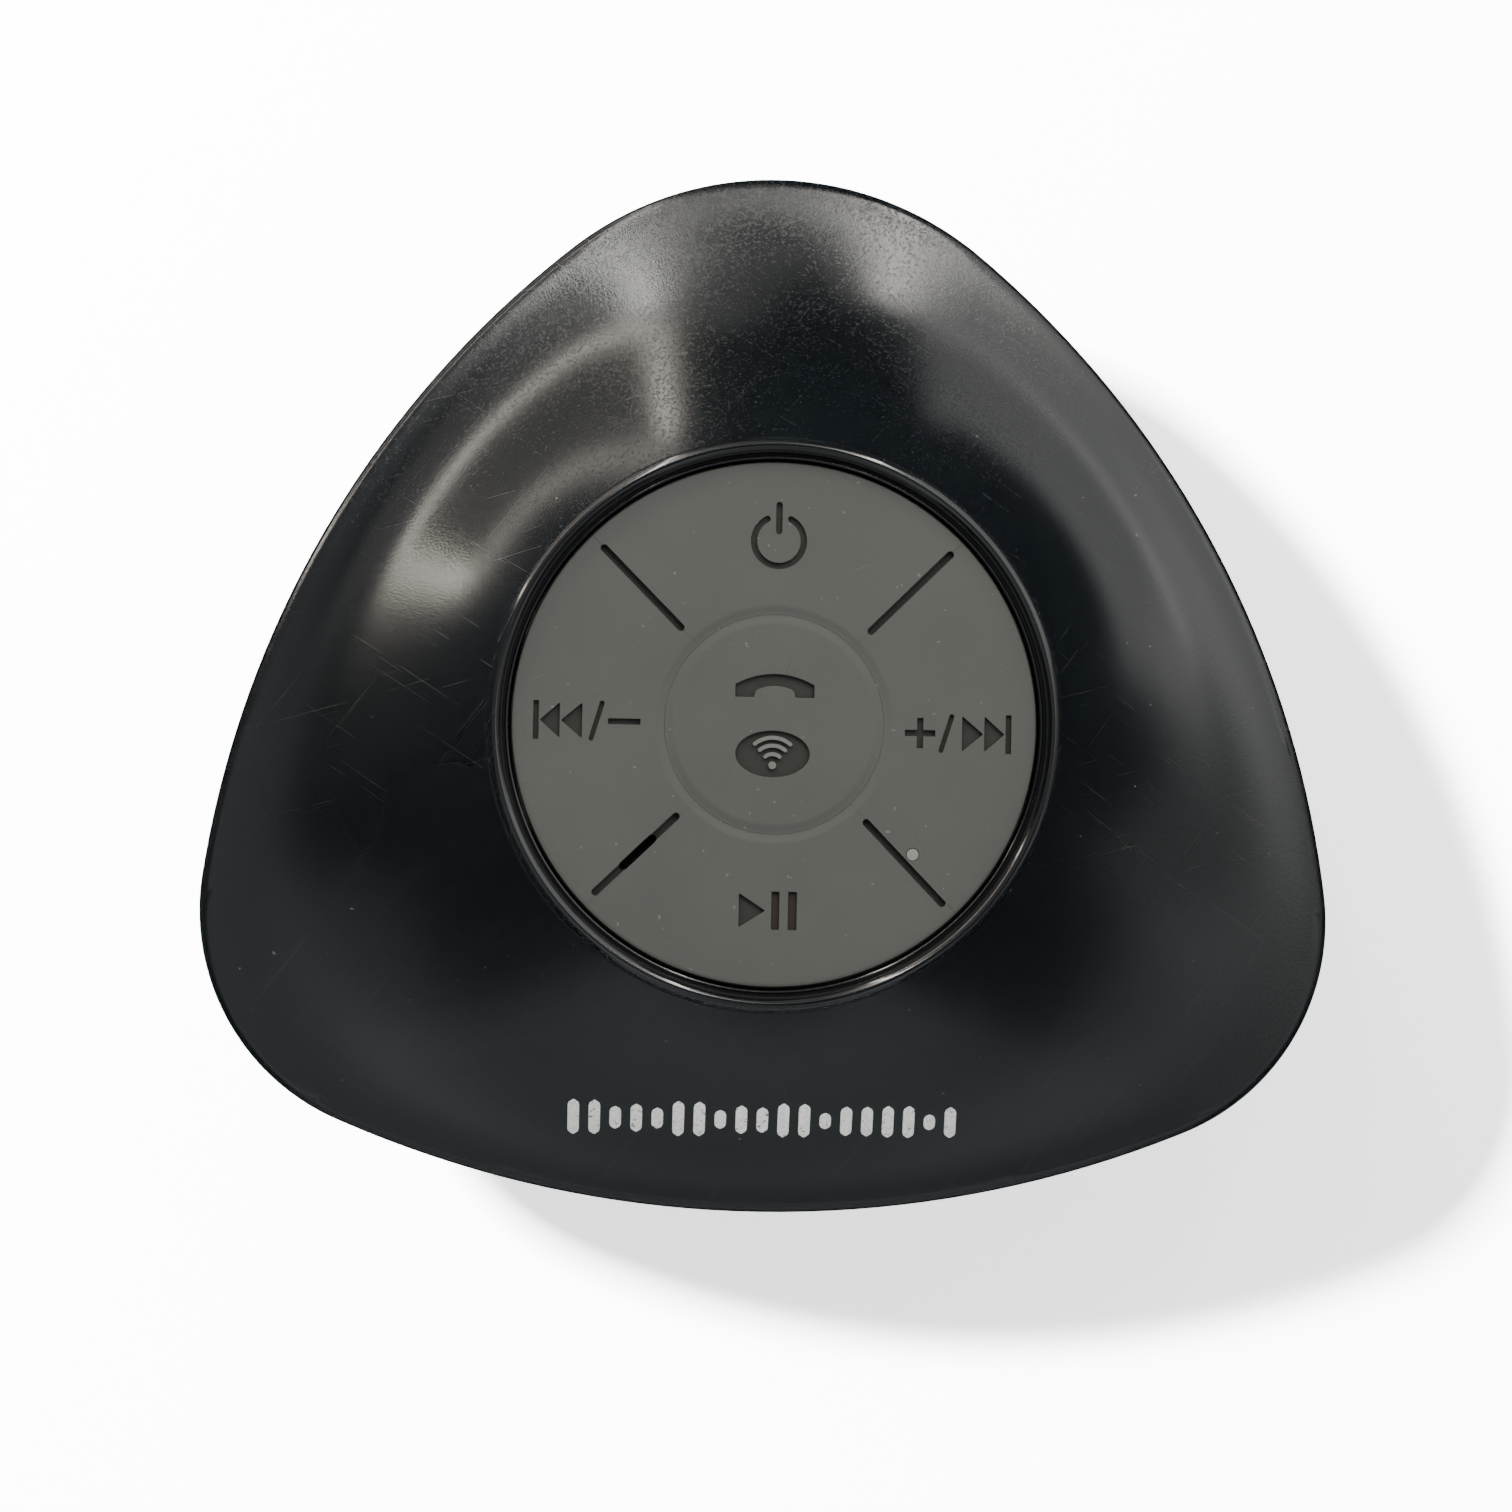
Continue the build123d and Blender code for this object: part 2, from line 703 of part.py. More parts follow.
with BuildPart() as driver_gasket:
    add(ring(baffle_top, flange_bottom, driver_radius, driver_radius - 2.6).part)
    with BuildSketch(level(baffle_top)):
        with Locations(*driver_screw_points):
            Circle(0.7)
    extrude(amount=driver_gasket_thickness, mode=Mode.SUBTRACT)
pieces["driver_gasket"] = driver_gasket
pieces["driver_screws"] = screws(
    driver_screw_points, flange_top, baffle_bottom + 0.6, 0.65, 0.95, 0.8, upward=False
)

# ---------------------------------------------------------------- baffle
port_board_size = (14.0, 8.6)
port_board_y = -(port_floor - 2.4 - 4.4)
port_screw_points = [(-5.4, port_board_y + 2.0), (5.4, port_board_y + 2.0)]
with BuildPart() as driver_baffle:
    add(ring(baffle_bottom, baffle_top, baffle_radius, driver_radius - 3.2).part)
    add(pegs(port_screw_points, baffle_top, port_board_bottom, 1.6).part)
    with BuildSketch(level(baffle_bottom + 0.5)):
        with Locations(*driver_screw_points):
            Circle(0.8)
        with Locations(*port_screw_points):
            Circle(0.8)
    extrude(amount=baffle_thickness, mode=Mode.SUBTRACT)
pieces["driver_baffle"] = driver_baffle
seal_thickness = 0.4
pieces["baffle_seal"] = ring(baffle_bottom - seal_thickness, baffle_bottom, baffle_radius - 0.3, ledge_radius)

# ---------------------------------------------------------------- rear shell
with BuildPart() as rear_form:
    loft(bowl_sections(cup_height, base_radius, 0.0))
    fillet(rear_form.edges().filter_by_position(Axis.Z, cup_height - 0.01, cup_height + 0.01), base_round)

pocket_middle = socket_middle + 0.3
with BuildPart() as port_block:
    with BuildSketch(level(pocket_middle - port_height / 2 - port_floor_wall)):
        with Locations((0, -port_floor - 1.6)):
            Rectangle(port_width + 2 * port_wall, 8.0)
    extrude(amount=port_height + 2 * port_floor_wall)
    add(rear_form.part, mode=Mode.INTERSECT)

with BuildPart() as rear_posts:
    add(pegs(boss_points, cup_height, parting_height, post_radius).part)
    add(rear_form.part, mode=Mode.INTERSECT)

ledge_top = baffle_bottom - seal_thickness
ledge_bottom = ledge_top - ledge_height
with BuildPart() as baffle_ledge:
    with BuildSketch(level(ledge_bottom)):
        Circle(baffle_radius + 4.0)
        Circle(ledge_radius, mode=Mode.SUBTRACT)
    extrude(amount=ledge_height)
    add(rear_form.part, mode=Mode.INTERSECT)

stem_radius = 6.0
stem_depth = 1.0
slot_middle = (base_top + ledge_bottom) / 2
mesh_outer = base_radius - wall - 0.1


boss_keepout = 9.0  # degrees each side of a post that stay without slots


def near_boss(angle):
    """True where a post stands behind the wall."""
    return any(abs((angle - boss + 180) % 360 - 180) < boss_keepout for boss, distance in boss_places)


slot_planes = []
for index in range(slot_count):
    slot_angle = 360 * (index + 0.5) / slot_count
    if not near_boss(slot_angle):
        x, y = polar(slot_angle, mesh_outer)
        slot_planes.append(
            Plane((x, y + axis_y, slot_middle), x_dir=(0, 0, 1), z_dir=(*polar(slot_angle, 1), 0))
        )

with BuildPart() as rear_shell:
    add(rear_form.part)
    loft(bowl_sections(base_top, base_radius - wall, wall), mode=Mode.SUBTRACT)
    add(baffle_ledge.part)
    add(rear_posts.part)
    add(port_block.part)
    with BuildSketch(*slot_planes):
        SlotOverall(slot_height, slot_width)
    extrude(amount=outline_width / 2, mode=Mode.SUBTRACT)
    with BuildSketch(level(0)):
        with Locations(*boss_points):
            Circle(counterbore_radius)
    extrude(amount=parting_height - screw_seat_drop, mode=Mode.SUBTRACT)
    with BuildSketch(level(0)):
        with Locations(*boss_points):
            Circle(screw_radius + 0.2)
    extrude(amount=parting_height, mode=Mode.SUBTRACT)
    with BuildSketch(level(cup_height)):
        Circle(stem_radius + fit_gap)
    extrude(amount=stem_depth, mode=Mode.SUBTRACT)
    with BuildSketch(level(cup_height)):
        Circle(cup_screw_hole)
    extrude(amount=base_thickness, mode=Mode.SUBTRACT)
    with BuildSketch(Plane.XY.offset(parting_height)):
        add(section(0, 1, 0, 0.7))
        add(section(0, 1, 0, 0.7 + gasket_width), mode=Mode.SUBTRACT)
    extrude(amount=-gasket_depth, mode=Mode.SUBTRACT)
    with BuildSketch(level(pocket_middle - port_height / 2)):
        with Locations((0, -port_floor - 5)):
            Rectangle(port_width, 10)
    extrude(amount=port_height, mode=Mode.SUBTRACT)
    with BuildSketch(level(socket_middle - socket_height / 2 - 0.2)):
        with Locations((0, -port_floor + 2)):
            Rectangle(socket_width + 0.4, 8)
    extrude(amount=socket_height + 0.4, mode=Mode.SUBTRACT)
pieces["rear_shell"] = rear_shell

with BuildPart() as shell_gasket:
    with BuildSketch(Plane.XY.offset(parting_height - gasket_depth)):
        add(section(0, 1, 0, 0.75))
        add(section(0, 1, 0, 0.65 + gasket_width), mode=Mode.SUBTRACT)
    extrude(amount=gasket_depth)
pieces["shell_gasket"] = shell_gasket

pieces["housing_screws"] = screws(
    boss_points,
    parting_height - screw_seat_drop,
    parting_height + screw_engagement,
    screw_radius,
    2.2,
    1.6,
)
pieces["acoustic_mesh"] = ring(base_top, ledge_bottom, mesh_outer, mesh_outer - mesh_thickness)

# ---------------------------------------------------------------- suction cup
insert_radius = 2.6
insert_bottom = cup_hollow + 1.2
stem_top = cup_height + stem_depth
with BuildPart() as suction_cup:
    with BuildSketch(profile_plane):
        with BuildLine():
            Line((cup_radius - cup_lip, 0), (cup_radius, 0))
            Line((cup_radius, 0), (cup_radius, 0.7))
            ThreePointArc((cup_radius, 0.7), (cup_radius * 0.66, 3.1), (9.0, cup_height - 1.2))
            Line((9.0, cup_height - 1.2), (stem_radius, cup_height - 0.6))
            Line((stem_radius, cup_height - 0.6), (stem_radius, stem_top))
            Line((stem_radius, stem_top), (0, stem_top))
            Line((0, stem_top), (0, cup_hollow))
            ThreePointArc((0, cup_hollow), (cup_radius * 0.55, 2.3), (cup_radius - cup_lip, 0))
        make_face()
    revolve(axis=core_axis)
    with BuildSketch(level(0.3)):
        with Locations(polar(315, cup_radius + 1.5)):
            SlotOverall(*cup_tab, rotation=315)
    extrude(amount=1.2)
    with BuildSketch(level(insert_bottom)):
        Circle(insert_radius)
    extrude(amount=stem_top - insert_bottom, mode=Mode.SUBTRACT)
    with BuildSketch(level(0)):
        Circle(cup_radius - 1.7)
    extrude(amount=0.3, mode=Mode.SUBTRACT)
pieces["suction_cup"] = suction_cup
pieces["cup_insert"] = ring(insert_bottom, stem_top, insert_radius, 1.55)
washer_thickness = 0.6
pieces["cup_washer"] = ring(base_top, base_top + washer_thickness, 4.0, cup_screw_hole)
pieces["cup_screw"] = screws(
    [(0, 0)], base_top + washer_thickness, insert_bottom + 0.6, 1.5, 2.8, 1.8, upward=False
)

# ---------------------------------------------------------------- charging port
socket_front = -(port_floor - 0.5)
with BuildPart() as charge_socket:
    with BuildSketch(Plane((0, axis_y + socket_front, socket_middle), x_dir=(1, 0, 0), z_dir=(0, 1, 0))):
        RectangleRounded(socket_width, socket_height, 0.8)
        RectangleRounded(
            socket_width - 2 * socket_wall, socket_height - 2 * socket_wall, 0.5, mode=Mode.SUBTRACT
        )
    extrude(amount=socket_depth)
    with BuildSketch(
        Plane((0, axis_y + socket_front + socket_depth, socket_middle), x_dir=(1, 0, 0), z_dir=(0, 1, 0))
    ):
        RectangleRounded(socket_width, socket_height, 0.8)
    extrude(amount=-socket_wall)
pieces["charge_socket"] = charge_socket
tongue_depth = socket_depth - socket_wall - 1.2
pieces["socket_tongue"] = block(
    (0, socket_front + 1.2 + tongue_depth / 2),
    (socket_width - 2.4, tongue_depth),
    socket_middle - 0.35,
    socket_middle + 0.35,
)
with BuildPart() as port_board:
    with BuildSketch(level(port_board_bottom)):
        with Locations((0, port_board_y)):
            Rectangle(*port_board_size)
        with Locations(*port_screw_points):
            Circle(0.95, mode=Mode.SUBTRACT)
    extrude(amount=port_board_thickness)
pieces["port_board"] = port_board
pieces["port_board_screws"] = screws(
    port_screw_points, socket_bottom, baffle_bottom + 0.8, 0.75, 1.25, 0.8, upward=False
)

with BuildPart() as port_cover:
    with BuildSketch(level(pocket_middle - port_height / 2 + fit_gap)):
        with Locations((0, -port_floor - 5 - fit_gap)):
            Rectangle(port_width - 2 * fit_gap, 10)
    extrude(amount=port_height - 2 * fit_gap)
    add(rear_form.part, mode=Mode.INTERSECT)
    with BuildSketch(level(socket_middle - socket_height / 2 + 0.15)):
        with Locations((0, -port_floor)):
            Rectangle(socket_width - 0.5, 0.8)
    extrude(amount=socket_height - 0.5)
pieces["port_cover"] = port_cover

# ---------------------------------------------------------------- internal wiring
wire_radius = 0.45
terminal_end = terminal_x + 2.0
wire_run = carrier_radius - skirt_wall - 1.2
pieces["speaker_leads"] = leads(
    [
        [
            (terminal_end - 1.0, terminal_y + offset, frame_top + 0.6 + wire_radius),
            (wire_run - 1.2, terminal_y + offset, frame_top + 0.6 + wire_radius),
            (wire_run - 1.2, terminal_y + offset, board_bottom),
        ]
        for offset in (-0.8, 0.8)
    ],
    wire_radius,
    1.2,
)
pieces["charge_leads"] = leads(
    [
        [
            (x, port_board_y + 3.0, socket_bottom),
            (x, port_board_y + 3.0, battery_bottom - 4.0),
            (x, -wire_run + 0.4, battery_bottom - 0.5),
            (x, -wire_run + 0.4, board_bottom),
        ]
        for x in (-1.6, -0.3)
    ],
    wire_radius,
    2.0,
)
battery_end = -battery_length / 2
pieces["battery_leads"] = leads(
    [
        [
            (battery_end, battery_socket_centre[1] + offset, battery_bottom + 1.6),
            (battery_socket_centre[0], battery_socket_centre[1] + offset, battery_bottom + 1.6),
            (battery_socket_centre[0], battery_socket_centre[1] + offset, battery_socket_bottom),
        ]
        for offset in (-0.9, 0.9)
    ],
    wire_radius,
    0.8,
)

# ---------------------------------------------------------------- files
os.makedirs("parts", exist_ok=True)
for label, piece in pieces.items():
    piece.part.label = label
    export_step(piece.part, "parts/" + label + ".step")
print(len(pieces), "pieces; keypad axis at y =", round(axis_y, 3), "; top at z =", round(crest, 2))
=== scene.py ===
import json
import math

import bpy
import numpy as np
from mathutils import Matrix, Vector


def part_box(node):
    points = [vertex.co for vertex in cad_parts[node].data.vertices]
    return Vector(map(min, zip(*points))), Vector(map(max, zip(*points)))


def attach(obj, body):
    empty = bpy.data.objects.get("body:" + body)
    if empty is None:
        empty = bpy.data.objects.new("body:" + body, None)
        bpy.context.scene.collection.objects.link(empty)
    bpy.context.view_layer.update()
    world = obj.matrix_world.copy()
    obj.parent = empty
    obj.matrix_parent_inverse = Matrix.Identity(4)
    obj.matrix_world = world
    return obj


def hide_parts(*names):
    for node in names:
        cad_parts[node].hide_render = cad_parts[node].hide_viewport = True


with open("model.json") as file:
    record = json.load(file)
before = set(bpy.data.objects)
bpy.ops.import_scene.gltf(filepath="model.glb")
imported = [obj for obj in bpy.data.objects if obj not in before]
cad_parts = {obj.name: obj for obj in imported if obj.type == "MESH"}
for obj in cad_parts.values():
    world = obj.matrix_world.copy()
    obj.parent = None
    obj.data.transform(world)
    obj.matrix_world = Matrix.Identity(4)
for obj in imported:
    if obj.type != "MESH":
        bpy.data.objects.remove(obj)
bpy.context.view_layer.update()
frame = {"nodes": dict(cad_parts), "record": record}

# A palm-size wireless shower speaker with a hands-free keypad, lying on its suction cup.
# Lengths in this script are millimetres until a mesh is placed, and MM turns them into metres.
MM = 0.001


# ---------------------------------------------------------------- sizes, from the frame
def box_mm(node):
    low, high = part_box(node)
    return low / MM, high / MM


front_high = box_mm("front_shell")[1]
rear_high = box_mm("rear_shell")[1]
ring_low, ring_high = box_mm("bezel_ring")
call_high = box_mm("key_call")[1]
power_high = box_mm("key_power")[1]
cover_low, cover_high = box_mm("port_cover")

axis_y = (ring_low.y + ring_high.y) / 2  # keypad axis; it stands at x = 0
shell_top = front_high.z
key_top = call_high.z
crest = ring_high.z
ring_radius = ring_high.x
keypad_radius = power_high.y - axis_y
parting = rear_high.z

side_radius = 78.0  # the outline's arcs
bottom_radius = 86.0
apex_radius = 25.6
corner_radius = 18.0
brim_height = 3.0
brim_round = 0.85
flare_power = 2.0
wall = 2.2
shell_top_radius = ring_radius + 0.15
bore_radius = keypad_radius + 0.75
brim_top = parting + brim_height
key_bottom = key_top - 2.4


# ---------------------------------------------------------------- the three-sided outline
def circles_meet(first, first_reach, second, second_reach):
    """Where two circles meet, on the left of the line between their centres."""
    dx, dy = second[0] - first[0], second[1] - first[1]
    gap = math.hypot(dx, dy)
    along = (first_reach**2 - second_reach**2 + gap**2) / (2 * gap)
    across = math.sqrt(first_reach**2 - along**2)
    return (first[0] + (dx * along - dy * across) / gap, first[1] + (dy * along + dx * across) / gap)


def heading(start, end):
    return math.degrees(math.atan2(end[1] - start[1], end[0] - start[0]))


half_width, half_height = front_high.x, front_high.y
bottom_centre = (0.0, bottom_radius - half_height)
apex_centre = (0.0, half_height - apex_radius)
corner_x = half_width - corner_radius
corner_y = bottom_centre[1] - math.sqrt((bottom_radius - corner_radius) ** 2 - corner_x**2)
right_corner = (corner_x, corner_y)
left_corner = (-corner_x, corner_y)
right_side = circles_meet(right_corner, side_radius - corner_radius, apex_centre, side_radius - apex_radius)
left_side = (-right_side[0], right_side[1])
turn_low = heading(bottom_centre, right_corner)
turn_side = heading(right_side, right_corner)
turn_apex = heading(right_side, apex_centre)
OUTLINE = [
    (turn_side, right_corner, corner_radius),
    (turn_apex, right_side, side_radius),
    (180 - turn_apex, apex_centre, apex_radius),
    (180 - turn_side, left_side, side_radius),
    (180 - turn_low, left_corner, corner_radius),
    (360 + turn_low, bottom_centre, bottom_radius),
]
COLUMNS = 288


def outline_point(turn, blend, inset, core):
    """Point of a section with that outward normal: a circle at blend 0, the outline at blend 1."""
    turn = turn_low + (turn - turn_low) % 360
    centre, radius = next((c, r) for last, c, r in OUTLINE if turn <= last + 1e-9)
    reach = core * (1 - blend) + (radius - inset) * blend
    angle = math.radians(turn)
    return (
        centre[0] * blend + reach * math.cos(angle),
        centre[1] * blend + axis_y * (1 - blend) + reach * math.sin(angle),
    )


def section(height, blend, inset, core):
    """Closed row of points round a section of the shell."""
    points = []
    for index in range(COLUMNS + 1):
        x, y = outline_point(360 * index / COLUMNS, blend, inset, core)
        points.append((x, y, height))
    return points


def flare_height(blend, brim, top):
    """Height of the flare between its top, at blend 0, and the brim, at blend 1."""
    return brim + (top - brim) * abs(1 - blend) ** flare_power


# ---------------------------------------------------------------- modelling helpers
def deselect_all():
    if bpy.context.mode != "OBJECT":
        bpy.ops.object.mode_set(mode="OBJECT")
    bpy.ops.object.select_all(action="DESELECT")


def pick(piece):
    """Makes one piece the selected and active one."""
    deselect_all()
    piece.select_set(True)
    bpy.context.view_layer.objects.active = piece


def tidy_mesh(piece, gap=0.0005):
    """Welds doubles and points the faces outwards."""
    pick(piece)
    bpy.ops.object.mode_set(mode="EDIT")
    bpy.ops.mesh.select_all(action="SELECT")
    bpy.ops.mesh.remove_doubles(threshold=gap * MM)
    bpy.ops.mesh.dissolve_degenerate(threshold=gap * MM * 0.2)
    bpy.ops.mesh.normals_make_consistent(inside=False)
    bpy.ops.object.mode_set(mode="OBJECT")


def formed(name, rows, capped=False):
    """A grid primitive whose vertices are placed on rows of points, welded into one surface."""
    deselect_all()
    across, along = len(rows[0]), len(rows)
    bpy.ops.mesh.primitive_grid_add(x_subdivisions=across - 1, y_subdivisions=along - 1, size=1)
    piece = bpy.context.active_object
    places = np.array(rows, float).reshape(-1, 3) * MM
    piece.data.vertices.foreach_set("co", places.ravel())
    piece.data.update()
    piece.name = name
    piece.data.name = name
    tidy_mesh(piece)
    if capped:
        pick(piece)
        bpy.ops.object.mode_set(mode="EDIT")
        bpy.ops.mesh.select_all(action="SELECT")
        bpy.ops.mesh.fill_holes(sides=0)
        bpy.ops.mesh.normals_make_consistent(inside=False)
        bpy.ops.object.mode_set(mode="OBJECT")
    return piece


def turned(name, profile, steps=128, first=0.0, sweep=360.0, capped=False):
    """A closed (radius, height) profile turned about the keypad axis."""
    rows = []
    for radius, height in profile + profile[:1]:
        row = []
        for index in range(steps + 1):
            angle = math.radians(first + sweep * index / steps)
            row.append((radius * math.cos(angle), axis_y + radius * math.sin(angle), height))
        rows.append(row)
    return formed(name, rows, capped)


def slab(name, points, low, high):
    """A flat shape about the keypad axis, filled and extruded between two heights."""
    deselect_all()
    bpy.ops.mesh.primitive_circle_add(vertices=len(points), radius=1, fill_type="NGON")
    piece = bpy.context.active_object
    for vertex, (x, y) in zip(piece.data.vertices, points):
        vertex.co = (x * MM, (y + axis_y) * MM, low * MM)
    piece.name = name
    piece.data.name = name
    pick(piece)
    bpy.ops.object.mode_set(mode="EDIT")
    bpy.ops.mesh.select_all(action="SELECT")
    bpy.ops.mesh.extrude_region_move(TRANSFORM_OT_translate={"value": (0, 0, (high - low) * MM)})
    bpy.ops.mesh.select_all(action="SELECT")
    bpy.ops.mesh.normals_make_consistent(inside=False)
    bpy.ops.object.mode_set(mode="OBJECT")
    return piece


def join(pieces, name):
    deselect_all()
    for piece in pieces:
        piece.select_set(True)
    bpy.context.view_layer.objects.active = pieces[0]
    if len(pieces) > 1:
        bpy.ops.object.join()
    joined = bpy.context.active_object
    joined.name = name
    joined.data.name = name
    return joined


def cut(piece, cutter):
    """Takes a cutter away from a piece; the cutter's material stays on the faces that it leaves."""
    pick(piece)
    boolean = piece.modifiers.new("cut", "BOOLEAN")
    boolean.operation = "DIFFERENCE"
    boolean.solver = "EXACT"
    boolean.object = cutter
    boolean.material_mode = "TRANSFER"
    bpy.ops.object.modifier_apply(modifier="cut")
    bpy.data.objects.remove(cutter)


def smooth(piece, angle):
    """Shades a piece smooth, but keeps edges sharper than the angle."""
    pick(piece)
    bpy.ops.object.shade_smooth_by_angle(angle=math.radians(angle))


def soften(piece, width, wanted):
    """Bevels the sharp edges whose two ends pass the test."""
    mesh = piece.data
    layer = "bevel_weight_edge"
    weights = mesh.attributes.get(layer) or mesh.attributes.new(layer, "FLOAT", "EDGE")
    faces_of = {}
    for face in mesh.polygons:
        for key in face.edge_keys:
            faces_of.setdefault(key, []).append(face.normal.copy())
    for edge in mesh.edges:
        normals = faces_of.get(edge.key, [])
        sharp = len(normals) == 2 and normals[0].angle(normals[1], 0) > math.radians(40)
        ends = [mesh.vertices[v].co / MM for v in edge.vertices]
        weights.data[edge.index].value = 1.0 if sharp and all(wanted(end) for end in ends) else 0.0
    pick(piece)
    bevel = piece.modifiers.new("soften", "BEVEL")
    bevel.limit_method = "WEIGHT"
    bevel.width = width * MM
    bevel.segments = 2
    bevel.use_clamp_overlap = True
    bpy.ops.object.modifier_apply(modifier="soften")


def wear(piece, material):
    """Sets a piece's first material and leaves any others as they are."""
    if not piece.data.materials:
        piece.data.materials.append(material)
    else:
        piece.data.materials[0] = material


def seat(piece, body, slot, *nodes):
    """Hangs a finished piece on its body, in place of CAD nodes."""
    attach(piece, body)
    if nodes:
        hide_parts(*nodes)


# ---------------------------------------------------------------- flat shapes
def arc_points(centre, radius, first, last, steps):
    points = []
    for index in range(steps + 1):
        angle = math.radians(first + (last - first) * index / steps)
        points.append((centre[0] + radius * math.cos(angle), centre[1] + radius * math.sin(angle)))
    return points


def capsule(start, end, width, steps=8):
    """Straight stroke with round ends."""
    turn = heading(start, end)
    return arc_points(end, width / 2, turn - 90, turn + 90, steps) + arc_points(
        start, width / 2, turn + 90, turn + 270, steps
    )


def bow(centre, radius, first, last, width, steps=28):
    """Curved stroke with round ends."""
    outer = arc_points(centre, radius + width / 2, first, last, steps)
    inner = arc_points(centre, radius - width / 2, last, first, steps)
    tip_last = arc_points(centre, radius, last, last, 1)[0]
    tip_first = arc_points(centre, radius, first, first, 1)[0]
    cap_last = arc_points(tip_last, width / 2, last, last + 180, 6)[1:-1]
    cap_first = arc_points(tip_first, width / 2, first + 180, first + 360, 6)[1:-1]
    return outer + cap_last + inner + cap_first


def rounded(corners, radius, steps=3):
    """Polygon with its corners rounded."""
    points = []
    count = len(corners)
    for index in range(count):
        here = Vector(corners[index])
        back = (Vector(corners[index - 1]) - here).normalized()
        ahead = (Vector(corners[(index + 1) % count]) - here).normalized()
        half = back.angle(ahead) / 2
        reach = radius / math.tan(half)
        start, end = here + back * reach, here + ahead * reach
        for step in range(steps + 1):
            share = step / steps
            points.append(tuple(start * (1 - share) ** 2 + here * 2 * share * (1 - share) + end * share**2))
    return points


def bar(x, y, width, height, radius=0.08):
    left, right, low, high = x - width / 2, x + width / 2, y - height / 2, y + height / 2
    return rounded([(left, low), (right, low), (right, high), (left, high)], radius)


# ---------------------------------------------------------------- finishes
def finish_nodes(name, colour, roughness, metallic=0.0, coat=0.0, coat_roughness=0.1, specular=0.5):
    """A material with its steady values set on the shader's own sockets."""
    material = bpy.data.materials.new(name)
    material.use_nodes = True
    tree = material.node_tree
    shader = tree.nodes["Principled BSDF"]
    shader.inputs["Base Color"].default_value = (*colour, 1)
    shader.inputs["Roughness"].default_value = roughness
    shader.inputs["Metallic"].default_value = metallic
    shader.inputs["Coat Weight"].default_value = coat
    shader.inputs["Coat Roughness"].default_value = coat_roughness
    shader.inputs["Specular IOR Level"].default_value = specular
    where = tree.nodes.new("ShaderNodeTexCoord")
    return material, tree, shader, where.outputs["Object"]


def mapped(tree, source, scale=(1, 1, 1), turn=(0, 0, 0), shift=(0, 0, 0)):
    """The pattern's coordinates, moved, turned and stretched."""
    node = tree.nodes.new("ShaderNodeMapping")
    node.inputs["Location"].default_value = shift
    node.inputs["Rotation"].default_value = [math.radians(angle) for angle in turn]
    node.inputs["Scale"].default_value = scale
    tree.links.new(source, node.inputs["Vector"])
    return node.outputs["Vector"]


def noise(tree, source, scale, detail=3.0, rough=0.55):
    """Noise whose scale is in bumps per metre."""
    node = tree.nodes.new("ShaderNodeTexNoise")
    node.inputs["Scale"].default_value = scale
    node.inputs["Detail"].default_value = detail
    node.inputs["Roughness"].default_value = rough
    tree.links.new(source, node.inputs["Vector"])
    return node.outputs["Fac"]


def spread(tree, source, low, high, floor=0.0, top=1.0):
    """Stretches a value from low..high to floor..top."""
    node = tree.nodes.new("ShaderNodeMapRange")
    node.inputs["From Min"].default_value = low
    node.inputs["From Max"].default_value = high
    node.inputs["To Min"].default_value = floor
    node.inputs["To Max"].default_value = top
    tree.links.new(source, node.inputs["Value"])
    return node.outputs["Result"]


def combine(tree, operation, first, second=0.0):
    """One sum on two values, each a number or a socket."""
    node = tree.nodes.new("ShaderNodeMath")
    node.operation = operation
    for socket, value in zip(node.inputs, (first, second)):
        if isinstance(value, (int, float)):
            socket.default_value = value
        else:
            tree.links.new(value, socket)
    return node.outputs["Value"]


def blend_colours(tree, factor, first, second):
    node = tree.nodes.new("ShaderNodeMix")
    node.data_type = "RGBA"
    tree.links.new(factor, node.inputs["Factor"])
    for socket, value in ((node.inputs["A"], first), (node.inputs["B"], second)):
        if isinstance(value, tuple):
            socket.default_value = (*value, 1)
        else:
            tree.links.new(value, socket)
    return node.outputs["Result"]


def relief(tree, shader, height, depth, strength):
    """Fine bump; depth in metres."""
    node = tree.nodes.new("ShaderNodeBump")
    node.inputs["Distance"].default_value = depth
    node.inputs["Strength"].default_value = strength
    tree.links.new(height, node.inputs["Height"])
    tree.links.new(node.outputs["Normal"], shader.inputs["Normal"])


def scratches(tree, source, turn, lines, share, keep):
    """Fine straight scratches: a share of many thin parallel stripes, each broken into short lengths."""
    turned_source = mapped(tree, source, turn=(0, 0, turn), shift=(0.3, 0, 0))
    split = tree.nodes.new("ShaderNodeSeparateXYZ")
    tree.links.new(turned_source, split.inputs["Vector"])
    stripe = combine(tree, "FLOOR", combine(tree, "MULTIPLY", split.outputs["X"], lines))
    chance = tree.nodes.new("ShaderNodeTexWhiteNoise")
    chance.noise_dimensions = "1D"
    tree.links.new(stripe, chance.inputs["W"])
    drawn = combine(tree, "LESS_THAN", chance.outputs["Value"], share)
    lengths = noise(tree, mapped(tree, turned_source, (lines / 150, 1, 1)), 150, 1)
    return combine(tree, "MULTIPLY", drawn, spread(tree, lengths, keep, keep + 0.06))


